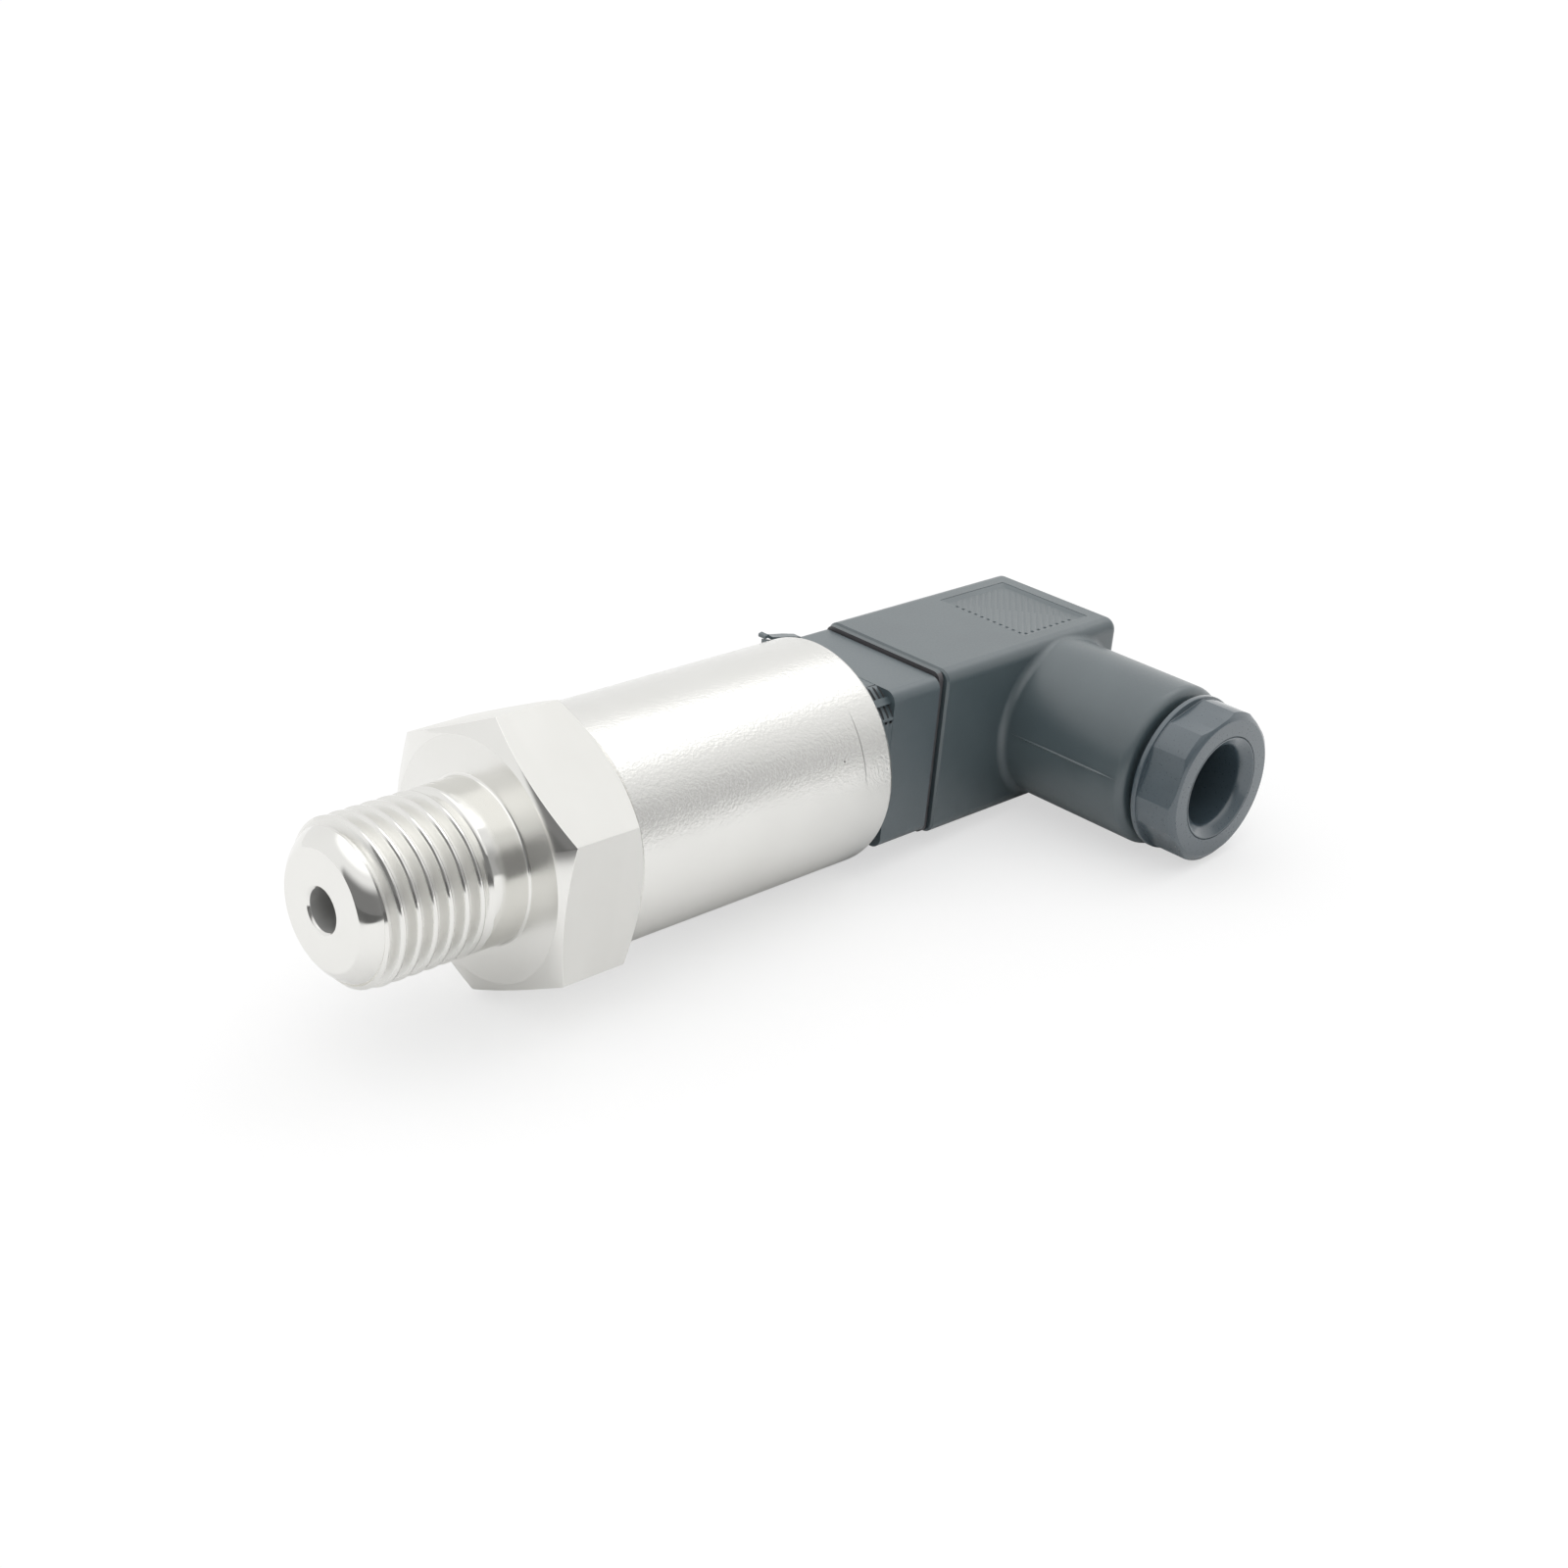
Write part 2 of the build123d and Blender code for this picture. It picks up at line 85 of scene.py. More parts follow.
INLET_R = 1.8
INLET_EDGE = 0.2

# Shares of a thread's pitch: half its flat crest, and one flank
CREST_SHARE = 0.07
FLANK_SHARE = 0.33

# Gland nut, in millimetres along the gland from the main axis, with angles in degrees
GLAND_X = 63.45
NUT_THREAD_R = 6.25
NUT_THREAD_PITCH = 1.27
NUT_THREAD_DEPTH = 0.7
NUT_START = 17.55
NUT_LEAD = 0.5
NUT_RUN_OUT = 0.6
NUT_FLANGE = 22.85
NUT_FLANGE_R = 7.4
NUT_HEAD = 23.35
NUT_FRONT = 27.35
NUT_R = 7.2
NUT_FLATS_R = 6.8
NUT_TURN = 13.6
NUT_CORNER_OFFSETS = (0.0, 10.5, 10.81, 11.1)
NUT_BORE_R = 3.8
NUT_MOUTH_R = 4.95
NUT_MOUTH = 26.6
NUT_RIM_R = 6.85
NUT_FRONT_EDGE = 0.16
NUT_CORNER_SLOPE = 0.8
NUT_LINE_DEPTH = 0.12
NUT_LINE_HALF_WIDTH = 0.05

# Front end of the connector base, behind the sleeve's rim
COLLAR_FRONT = 37.86
COLLAR_REAR = 40.22
COLLAR_RING_R = 9.05
COLLAR_INNER_R = 5.5
COLLAR_RIBS = 4
COLLAR_RIB_STEPS = 5
COLLAR_RIB_HEIGHT = 0.4
BLOCK_HALF_WIDTH = 7.58
BLOCK_HALF_HEIGHT = 7.68
TAB_Y = (5.7, 7.3)
TAB_Z = 7.1
FULL_CORNER_R = 10.6
FULL_CORNER_TURN = (30, 60)
TONGUE_Y = (6.8, 7.7)
TONGUE_LINE = ((42.6, 7.55), (41.0, 7.92), (39.8, 8.12), (38.9, 8.32), (38.35, 8.68), (37.95, 8.6))
TONGUE_THICKNESS = 0.3

# Fixing screw
SCREW_TIP = 42.3
SCREW_THREAD_END = 49.5
SCREW_R = 1.25
SCREW_PITCH = 0.45
SCREW_DEPTH = 0.26
SCREW_LEAD = 0.3
SCREW_RUN_OUT = 0.4
SCREW_HEAD = 69.7
SCREW_HEAD_R = 2.3
SCREW_REAR = 71.5
SCREW_SLOT_WIDTH = 0.6
SCREW_SLOT_DEPTH = 0.9

# Recess in the plug's upper face
RECESS_X = (60.1, 69.5)
RECESS_HALF_WIDTH = 5.45
RECESS_FLOOR = 7.7
RECESS_RAISED = 7.9
PLUG_TOP = 8.15
RECESS_SLOPE = 0.6
RECESS_CORNER_R = 0.32
RECESS_GAP = 0.01
RIB_INSET = 0.75

# Gasket between base and plug: its rim, past GASKET_RIM from the axis, swells and thins
GASKET_MIDDLE = 46.7
GASKET_RIM = 6.2
GASKET_SWELL = (1.035, 1.044)
GASKET_THINNING = 0.72

# Lines of the mould's joint on the cable tube
MOULD_LINE_NEAR_X = 55.7
MOULD_LINE_FAR_X = 71.2
MOULD_LINE_Y = (-8.6, -21.3)
MOULD_LINE_Z = 0.45
MOULD_LINE_STEPS = 12

# Dull grooves of the port's thread: where the dullness begins and ends along X and outwards
GROOVE_START = (-13.2, -12.9)
GROOVE_END = (-4.3, -3.6)
GROOVE_BORE_R = (5.5, 5.8)
GROOVE_CREST_R = (6.65, 6.95)
GROOVE_ROUGHNESS = 0.36

# Scored ring on the sleeve: its place, the fading of its edges and the heights it fades at
SCORE_X = 34.4
SCORE_EDGE = (0.03, 0.1)
SCORE_LOW = (0.6, 2.6)
SCORE_HIGH = (6.0, 7.8)
SCORE_STRENGTH = 0.55

# Colours
WHITE = (1.0, 1.0, 1.0, 1.0)
STEEL_BRIGHT = (0.86, 0.855, 0.83, 1.0)
STEEL_DULL = (0.80, 0.795, 0.765, 1.0)
STEEL_PINHOLE = (0.09, 0.085, 0.08, 1.0)
STEEL_SCORE = (0.2, 0.2, 0.19, 1.0)
PLASTIC_FLECK = (0.3, 0.33, 0.33, 1.0)
PAPER = (0.95, 0.95, 0.95, 1.0)
# Painted dark reflection: the floor's colour past its far-left edge, seen only in reflections and never
# by the camera
PAINTED_DARK_REFLECTION = (0.12, 0.12, 0.12, 1.0)

# Studio: how the transmitter lies, the dim side of the room, and levels of light in reflections
REST_NORMAL = Vector((-0.063, 0.056, 0.9964)).normalized()
ROOM_SIDE = (math.sin(math.radians(-28)), -math.cos(math.radians(-28)), 0.0)
ROOM_LEVELS = (0.21, 0.44)
WALL_LEVELS = (0.95, 0.9)
BOX_LEVEL = 1.3
FLOOR_REACH = 3.0
FLOOR_GLOW = 0.6
# Slant of the edge past which the floor is painted dark for reflections only
PAINTED_REFLECTION_EDGE_SLANT = 0.27
LAMP_ENERGY = 0.22
LAMP_ANGLE = 36
LAMP_SIDE = (0.58, 0.05, 0.81)

# Camera: place in millimetres, turn, lift and roll in degrees, and lens
CAMERA_PLACE = (-106.783, -134.859, 88.341)
CAMERA_TURNS = (-46.432, 24.938, 5.128)
CAMERA_LENS = 54.87


# Materials

def paint_socket(tree, socket, value):
    """Give a socket a number, a colour or a link."""
    if isinstance(value, bpy.types.NodeSocket):
        tree.links.new(value, socket)
    else:
        socket.default_value = value


def node(tree, kind, inputs=None, **settings):
    """A node with its settings and inputs filled in."""
    made = tree.nodes.new(kind)
    for name, value in settings.items():
        setattr(made, name, value)
    for key, value in (inputs or {}).items():
        paint_socket(tree, made.inputs[key], value)
    return made


def maths(tree, operation, *values):
    """One step of arithmetic, in a shader tree or a geometry tree."""
    step = node(tree, "ShaderNodeMath", dict(enumerate(values)), operation=operation)
    return step.outputs[0]


def between(tree, value, low, high, out_low=0.0, out_high=1.0):
    """Smooth step of a value from one range to another."""
    step = node(tree, "ShaderNodeMapRange", interpolation_type="SMOOTHSTEP")
    for key, number in zip(("Value", "From Min", "From Max", "To Min", "To Max"),
                           (value, low, high, out_low, out_high)):
        paint_socket(tree, step.inputs[key], number)
    return step.outputs["Result"]


def between_places(tree, value, places, out_low=0.0, out_high=1.0):
    """Smooth step from one place to another, both in millimetres."""
    return between(tree, value, places[0] * MM, places[1] * MM, out_low, out_high)


def blend(tree, factor, first, second):
    """Mix two numbers by a factor."""
    mix = node(tree, "ShaderNodeMix", data_type="FLOAT")
    for socket, value in zip((mix.inputs[0], mix.inputs[2], mix.inputs[3]), (factor, first, second)):
        paint_socket(tree, socket, value)
    return mix.outputs[0]


def new_group(name, inputs, outputs):
    """Shader node group with named number inputs and outputs."""
    group = bpy.data.node_groups.new(name, "ShaderNodeTree")
    for label, value in inputs.items():
        socket = group.interface.new_socket(label, in_out="INPUT", socket_type="NodeSocketFloat")
        socket.default_value = value
    for label in outputs:
        group.interface.new_socket(label, in_out="OUTPUT", socket_type="NodeSocketFloat")
    return group, group.nodes.new("NodeGroupInput"), group.nodes.new("NodeGroupOutput")


def stretched(tree, along, across):
    """Object coordinates scaled along X and across it."""
    place = node(tree, "ShaderNodeTexCoord").outputs["Object"]
    scale = node(tree, "ShaderNodeCombineXYZ", {0: along, 1: across, 2: across}).outputs[0]
    product = node(tree, "ShaderNodeVectorMath", {0: place, 1: scale}, operation="MULTIPLY")
    return product.outputs[0]


def turning_marks():
    """Fine rings round X that a lathe leaves, with slow changes round the piece."""
    group, given, result = new_group("turning_marks", {"Spacing": 0.0001, "Wander": 30.0},
                                     ["Height", "Streak"])
    along = maths(group, "DIVIDE", 1.0, given.outputs["Spacing"])
    rings = node(group, "ShaderNodeTexNoise", {
        "Vector": stretched(group, along, given.outputs["Wander"]),
        "Scale": 1.0, "Detail": 3.0, "Roughness": 0.6})
    wide = maths(group, "MULTIPLY", along, 0.12)
    bands = node(group, "ShaderNodeTexNoise", {
        "Vector": stretched(group, wide, given.outputs["Wander"]),
        "Scale": 1.0, "Detail": 2.0, "Roughness": 0.5})
    group.links.new(rings.outputs[0], result.inputs["Height"])
    group.links.new(between(group, bands.outputs[0], 0.3, 0.7), result.inputs["Streak"])
    return group


def fine_grain():
    """Even grain with a soft cloudiness over it."""
    group, given, result = new_group("fine_grain", {"Size": 0.0003, "Cloud": 0.006},
                                     ["Height", "Cloud"])
    place = node(group, "ShaderNodeTexCoord").outputs["Object"]
    grain = node(group, "ShaderNodeTexNoise", {
        "Vector": place, "Scale": maths(group, "DIVIDE", 1.0, given.outputs["Size"]),
        "Detail": 4.0, "Roughness": 0.65})
    cloud = node(group, "ShaderNodeTexNoise", {
        "Vector": place, "Scale": maths(group, "DIVIDE", 1.0, given.outputs["Cloud"]),
        "Detail": 3.0, "Roughness": 0.5})
    group.links.new(grain.outputs[0], result.inputs["Height"])
    group.links.new(cloud.outputs[0], result.inputs["Cloud"])
    return group


def stray_specks():
    """A few small specks scattered at random."""
    group, given, result = new_group("stray_specks", {"Spacing": 0.004, "Size": 0.02, "Share": 0.3},
                                     ["Mask"])
    place = node(group, "ShaderNodeTexCoord").outputs["Object"]
    cells = node(group, "ShaderNodeTexVoronoi", {
        "Vector": place, "Scale": maths(group, "DIVIDE", 1.0, given.outputs["Spacing"]),
        "Randomness": 1.0})
    pick = node(group, "ShaderNodeSeparateColor", {0: cells.outputs["Color"]}).outputs[0]
    near = maths(group, "LESS_THAN", cells.outputs["Distance"], given.outputs["Size"])
    chosen = maths(group, "LESS_THAN", pick, given.outputs["Share"])
    group.links.new(maths(group, "MULTIPLY", near, chosen), result.inputs["Mask"])
    return group


TURNING = turning_marks()
GRAIN = fine_grain()
SPECKS = stray_specks()


def use(tree, group, **values):
    """Place a node group, with its inputs given by name."""
    made = tree.nodes.new("ShaderNodeGroup")
    made.node_tree = group
    for key, value in values.items():
        paint_socket(tree, made.inputs[key], value)
    return made


def new_material(name, **sockets):
    """Material with a Principled shader whose plain sockets are set by name."""
    material = bpy.data.materials.new(name)
    material.use_nodes = True
    tree = material.node_tree
    tree.nodes.clear()
    shader = node(tree, "ShaderNodeBsdfPrincipled",
                  {key.replace("_", " "): value for key, value in sockets.items()})
    node(tree, "ShaderNodeOutputMaterial", {"Surface": shader.outputs[0]})
    return material, tree, shader


def blend_colours(tree, factor, first, second):
    """Mix two colours by a factor."""
    mix = node(tree, "ShaderNodeMix", data_type="RGBA")
    paint_socket(tree, mix.inputs[0], factor)
    paint_socket(tree, mix.inputs[6], first)
    paint_socket(tree, mix.inputs[7], second)
    return mix.outputs[2]


def raise_surface(tree, shader, height, depth, under=None):
    """Bump from a height, laid over an earlier one where it is given."""
    bump = node(tree, "ShaderNodeBump", {"Height": height, "Distance": depth, "Strength": 1.0})
    if under is not None:
        tree.links.new(under, bump.inputs["Normal"])
    tree.links.new(bump.outputs[0], shader.inputs["Normal"])
    return bump.outputs[0]


def turned_steel(name, bright, dull, spacing, ring_depth, smooth, rough, grain_depth=0.0,
                 metallic=1.0, grain_size=0.00035):
    """Stainless steel off the lathe: rings, soft cloudiness and a few dark pinholes."""
    material, tree, shader = new_material(name, Metallic=metallic, Base_Color=bright)
    marks = use(tree, TURNING, Spacing=spacing, Wander=40.0)
    grain = use(tree, GRAIN, Size=grain_size, Cloud=0.007)
    holes = use(tree, SPECKS, Spacing=0.0035, Size=0.03, Share=0.25)
    tone = blend_colours(tree, grain.outputs["Cloud"], dull, bright)
    tone = blend_colours(tree, holes.outputs["Mask"], tone, STEEL_PINHOLE)
    tree.links.new(tone, shader.inputs["Base Color"])
    worn = between(tree, marks.outputs["Streak"], 0.0, 1.0, smooth, rough)
    tree.links.new(worn, shader.inputs["Roughness"])
    rings = raise_surface(tree, shader, marks.outputs["Height"], ring_depth)
    if grain_depth:
        raise_surface(tree, shader, grain.outputs["Height"], grain_depth, under=rings)
    return material


def moulded_plastic(name, colour, lighter, roughness, grain_depth=0.000012, dust=True, **sockets):
    """Satin moulded plastic with a fine skin grain and stray dust."""
    material, tree, shader = new_material(name, Base_Color=colour, **sockets)
    grain = use(tree, GRAIN, Size=0.00022, Cloud=0.005)
    tone = blend_colours(tree, between(tree, grain.outputs["Cloud"], 0.3, 0.7), colour, lighter)
    if dust:
        flecks = use(tree, SPECKS, Spacing=0.0045, Size=0.022, Share=0.3)
        tone = blend_colours(tree, flecks.outputs["Mask"], tone, PLASTIC_FLECK)
    tree.links.new(tone, shader.inputs["Base Color"])
    worn = between(tree, grain.outputs["Height"], 0.2, 0.8, roughness - 0.05, roughness + 0.07)
    tree.links.new(worn, shader.inputs["Roughness"])
    raise_surface(tree, shader, grain.outputs["Height"], grain_depth)
    return material


def principled(tree):
    """The Principled shader of a material's tree."""
    return next(step for step in tree.nodes if step.type == "BSDF_PRINCIPLED")


port_steel = turned_steel("turned_steel", STEEL_BRIGHT, STEEL_DULL, 0.00012, 0.0000012, 0.07, 0.14)


def roughen_thread_grooves(material):
    """Make the port's steel duller in the grooves of its thread."""
    tree = material.node_tree
    shader = principled(tree)
    place = node(tree, "ShaderNodeTexCoord").outputs["Object"]
    across = node(tree, "ShaderNodeVectorMath", {0: place, 1: (0.0, 1.0, 1.0)}, operation="MULTIPLY")
    length = node(tree, "ShaderNodeVectorMath", {0: across.outputs[0]}, operation="LENGTH")
    radius = length.outputs["Value"]
    inside = between_places(tree, radius, GROOVE_CREST_R, 1.0, 0.0)
    outside_bore = between_places(tree, radius, GROOVE_BORE_R)
    along = node(tree, "ShaderNodeSeparateXYZ", {0: place}).outputs[0]
    threaded = maths(tree, "MULTIPLY", between_places(tree, along, GROOVE_START),
                     between_places(tree, along, GROOVE_END, 1.0, 0.0))
    groove = maths(tree, "MULTIPLY", maths(tree, "MULTIPLY", inside, outside_bore), threaded)
    plain = shader.inputs["Roughness"].links[0].from_socket
    tree.links.new(blend(tree, groove, plain, GROOVE_ROUGHNESS), shader.inputs["Roughness"])


roughen_thread_grooves(port_steel)
flats_steel = turned_steel("milled_steel", STEEL_BRIGHT, STEEL_DULL, 0.0004, 0.000001, 0.6, 0.66,
                           grain_depth=0.000004, metallic=0.6)
faced_steel = turned_steel("faced_steel", STEEL_BRIGHT, STEEL_DULL, 0.0005, 0.000001, 0.2, 0.26,
                           metallic=0.9)
bored_steel = turned_steel("bored_steel", (0.6, 0.6, 0.59, 1.0), (0.5, 0.5, 0.49, 1.0),
                           0.0003, 0.000002, 0.4, 0.5, metallic=0.5)
sleeve_steel = turned_steel("brushed_sleeve_steel", STEEL_BRIGHT, STEEL_DULL, 0.0005, 0.0000005,
                            0.2, 0.24, grain_depth=0.00004, metallic=0.84, grain_size=0.0003)


def score_sleeve(material):
    """Faint dark ring that a tool left part of the way round the sleeve, close to its rim."""
    tree = material.node_tree
    shader = principled(tree)
    place = node(tree, "ShaderNodeTexCoord").outputs["Object"]
    along, across, up = node(tree, "ShaderNodeSeparateXYZ", {0: place}).outputs
    off = maths(tree, "ABSOLUTE", maths(tree, "SUBTRACT", along, SCORE_X * MM))
    ring = between_places(tree, off, SCORE_EDGE, 1.0, 0.0)
    span = maths(tree, "MULTIPLY", between_places(tree, up, SCORE_LOW),
                 between_places(tree, up, SCORE_HIGH, 1.0, 0.0))
    near = maths(tree, "MULTIPLY", maths(tree, "LESS_THAN", across, 0.0), SCORE_STRENGTH)
    mask = maths(tree, "MULTIPLY", maths(tree, "MULTIPLY", ring, span), near)
    plain = shader.inputs["Base Color"].links[0].from_socket
    tree.links.new(blend_colours(tree, mask, plain, STEEL_SCORE), shader.inputs["Base Color"])


score_sleeve(sleeve_steel)
inner_steel = turned_steel("plain_inner_steel", (0.7, 0.69, 0.67, 1.0), (0.6, 0.59, 0.57, 1.0),
                           0.00015, 0.000003, 0.2, 0.34)
screw_steel = turned_steel("bright_screw_steel", (0.74, 0.73, 0.7, 1.0), (0.62, 0.61, 0.58, 1.0),
                           0.00008, 0.000002, 0.16, 0.28)
contact_brass = turned_steel("tinned_contact_brass", (0.86, 0.83, 0.76, 1.0), (0.74, 0.7, 0.62, 1.0),
                             0.0003, 0.000001, 0.2, 0.3)
insert_brass = turned_steel("yellow_insert_brass", (0.82, 0.62, 0.3, 1.0), (0.66, 0.47, 0.2, 1.0),
                            0.0002, 0.000003, 0.22, 0.34)
plug_plastic = moulded_plastic("dark_plug_plastic", (0.060, 0.086, 0.097, 1.0),
                               (0.068, 0.096, 0.107, 1.0), 0.42,
                               IOR=1.6, Coat_Weight=0.9, Coat_Roughness=0.36)
base_plastic = moulded_plastic("dark_base_plastic", (0.067, 0.095, 0.108, 1.0),
                               (0.075, 0.104, 0.118, 1.0), 0.42,
                               IOR=1.6, Coat_Weight=0.9, Coat_Roughness=0.36)
nut_plastic = moulded_plastic("smooth_nut_plastic", (0.060, 0.086, 0.104, 1.0),
                              (0.067, 0.095, 0.114, 1.0), 0.3, 0.000006, dust=False,
                              IOR=1.6, Coat_Weight=0.9, Coat_Roughness=0.14)
carrier_plastic = moulded_plastic("black_carrier_plastic", (0.03, 0.034, 0.037, 1.0),
                                  (0.036, 0.04, 0.044, 1.0), 0.5, dust=False)
gasket_rubber = moulded_plastic("brown_gasket_rubber", (0.06, 0.057, 0.062, 1.0),
                                (0.068, 0.064, 0.069, 1.0), 0.55, 0.00001, dust=False,
                                IOR=1.5, Coat_Weight=0.8, Coat_Roughness=0.4)
# Painted light: a lighter grey copy of the gasket's rubber, put on its upward faces
painted_lit_top_rubber = moulded_plastic("grey_painted_lit_top_rubber", (0.085, 0.105, 0.113, 1.0),
                              (0.095, 0.116, 0.124, 1.0), 0.5, 0.00001, dust=False,
                              IOR=1.5, Coat_Weight=0.5, Coat_Roughness=0.4)
seal_rubber = moulded_plastic("black_seal_rubber", (0.014, 0.014, 0.015, 1.0),
                              (0.02, 0.02, 0.021, 1.0), 0.62, 0.00002, dust=False)
board_laminate = moulded_plastic("green_board_laminate", (0.02, 0.13, 0.05, 1.0),
                                 (0.025, 0.16, 0.065, 1.0), 0.3, 0.000004, dust=False)
chip_body = moulded_plastic("black_chip_body", (0.02, 0.02, 0.021, 1.0),
                            (0.026, 0.026, 0.027, 1.0), 0.55, 0.000006, dust=False)
capacitor_body = moulded_plastic("tan_capacitor_body", (0.42, 0.3, 0.18, 1.0),
                                 (0.48, 0.35, 0.22, 1.0), 0.4, 0.000005, dust=False)
MATERIALS = {
    "port_steel": port_steel, "sleeve_steel": sleeve_steel, "inner_steel": inner_steel,
    "screw_steel": screw_steel, "contact_brass": contact_brass, "insert_brass": insert_brass,
    "plug_plastic": plug_plastic, "base_plastic": base_plastic, "nut_plastic": nut_plastic,
    "carrier_plastic": carrier_plastic, "gasket_rubber": gasket_rubber, "seal_rubber": seal_rubber,
    "board_laminate": board_laminate, "chip_body": chip_body, "capacitor_body": capacitor_body,
}


def dress_cad_nodes():
    """Give every CAD node the material of its slot in the record."""
    slots = {part["node"]: part["material_slot"] for part in frame["record"]["subparts"]}
    for name, piece in frame["nodes"].items():
        material = MATERIALS[slots[name]]
        if not piece.material_slots:
            piece.data.materials.append(material)
        for place in piece.material_slots:
            place.material = material


dress_cad_nodes()


# Pieces made as a skin through profiles taken round an axis

def rounded(corners):
    """Corner points (along, radius, round, steps) to profile points, each corner rounded."""
    points = []
    count = len(corners)
    for index, (x, r, fillet, steps) in enumerate(corners):
        here = Vector((x, r))
        before = Vector(corners[index - 1][:2]) - here
        after = Vector(corners[(index + 1) % count][:2]) - here
        if not fillet or before.length < 1e-9 or after.length < 1e-9:
            points += [here] * (steps + 1)
            continue
        half = before.angle(after) / 2
        reach = min(fillet / max(math.tan(half), 1e-6), 0.45 * before.length, 0.45 * after.length)
        start, end = here + before.normalized() * reach, here + after.normalized() * reach
        for step in range(steps + 1):
            t = step / steps
            points.append(start * (1 - t) ** 2 + here * 2 * t * (1 - t) + end * t**2)
    return [(point.x, point.y) for point in points]


def thread_points(angle, start, end, pitch, radius, depth, fade, rows_a_turn, lift=0.0):
    """Profile of a helical thread at one angle. Its rows follow the helix, so the crest stays crisp."""
    turn = angle / (2 * math.pi)
    rows = math.ceil(((end - start) / pitch + 1) * rows_a_turn)
    points = []
    for row in range(rows + 1):
        x = start + pitch * (row / rows_a_turn - 1 + turn)
        x = min(max(x, start), end)
        phase = ((x - start) / pitch - turn + lift) % 1.0
        groove = min(max((abs(phase - 0.5) - CREST_SHARE) / FLANK_SHARE, 0.0), 1.0)
        groove = 0.5 * groove + 0.5 * groove * groove * (3 - 2 * groove)
        points.append((x, radius - depth * groove * fade(x)))
    return points


def hexagon_radius(angle, flats_r, turn, edge=0.0):
    """Radius of a hexagon at an angle, with a corner at the turn and its corners rounded by edge."""
    step = math.pi / 3
    half = step / 2
    off = abs((angle - math.radians(turn) + half) % step - half)
    centre = (flats_r - edge) / math.cos(half)
    tangent = math.atan2(edge * math.sin(half), centre + edge * math.cos(half))
    if off < tangent:
        return centre * math.cos(off) + math.sqrt(edge**2 - (centre * math.sin(off)) ** 2)
    return flats_r / math.cos(half - off)


def angles_with_corners(count, turn, offsets=(0.0, 0.1, 0.2, 0.32, 0.6)):
    """Even angles round a circle, with more close to six corners. Both ends of the turn are listed."""
    degrees = {round(360 * step / count, 4) for step in range(count + 1)}
    for corner in range(6):
        for offset in offsets:
            for side in (-1, 1):
                degrees.add(round((turn + 60 * corner + side * offset) % 360, 4))
    return [math.radians(angle) for angle in sorted(degrees)]


def along_main(x, r, angle):
    """Place on the main axis: along X, the angle from +Y towards +Z."""
    return Vector((x, r * math.cos(angle), r * math.sin(angle))) * MM


def along_gland(s, r, angle):
    """Place on the gland's axis: along -Y, the angle from +X towards +Z."""
    return Vector((GLAND_X + r * math.cos(angle), -s, r * math.sin(angle))) * MM


def add_object(name, data):
    """Object in the scene for a mesh, a lamp or a camera."""
    made = bpy.data.objects.new(name, data)
    bpy.context.scene.collection.objects.link(made)
    return made


def cad_copy(node_name):
    """Copy of a CAD node's mesh, to be reshaped."""
    source = frame["nodes"][node_name]
    shape = bmesh.new()
    shape.from_mesh(source.data)
    shape.transform(source.matrix_world)
    return shape


def join_rings(shape, rings):
    """Faces between rings of vertices, each ring joined to the next, and a face over both ends."""
    for first, second in zip(rings, rings[1:]):
        for here in range(len(first)):
            after = (here + 1) % len(first)
            shape.faces.new((first[here], first[after], second[after], second[here]))
    shape.faces.new(rings[0])
    shape.faces.new(rings[-1])


def finish_mesh(shape, name, materials, sharp=38.0):
    """Weld a mesh, point its faces outwards, mark its sharp edges and make its object."""
    bmesh.ops.remove_doubles(shape, verts=shape.verts, dist=5e-7)
    bmesh.ops.dissolve_degenerate(shape, edges=shape.edges, dist=1e-7)
    bmesh.ops.recalc_face_normals(shape, faces=shape.faces)
    for face in shape.faces:
        face.smooth = True
    for edge in shape.edges:
        if len(edge.link_faces) == 2 and edge.calc_face_angle(0.0) > math.radians(sharp):
            edge.smooth = False
    mesh = bpy.data.meshes.new(name)
    shape.to_mesh(mesh)
    shape.free()
    for material in materials:
        mesh.materials.append(material)
    return add_object(name, mesh)


def skin(name, profile, angles, place, materials, closed=True, sharp=38.0):
    """Skin through the profiles at a list of angles. Closed joins each profile's end to its start."""
    shape = bmesh.new()
    columns = [[shape.verts.new(place(x, r, angle)) for x, r in profile(angle)]
               for angle in angles]
    rows = len(columns[0])
    for first, second in zip(columns, columns[1:]):
        for row in range(rows if closed else rows - 1):
            below = (row + 1) % rows
            shape.faces.new((first[row], second[row], second[below], first[below]))
    return finish_mesh(shape, name, materials, sharp)


def nose_arc():
    """Corner points of the rounded cone between the nose's face and the thread."""
    first, last = (math.radians(turn) for turn in NOSE_TURN)
    middle_x = NOSE_X + NOSE_BULGE * math.cos(first)
    middle_r = NOSE_FACE_R - NOSE_BULGE * math.sin(first)
    points = []
    for step in range(NOSE_STEPS + 1):
        turn = first + (last - first) * step / NOSE_STEPS
        edge = 0.15 if step in (0, NOSE_STEPS) else 0.0
        points.append((middle_x - NOSE_BULGE * math.cos(turn),
                       middle_r + NOSE_BULGE * math.sin(turn), edge, 2))
    return points


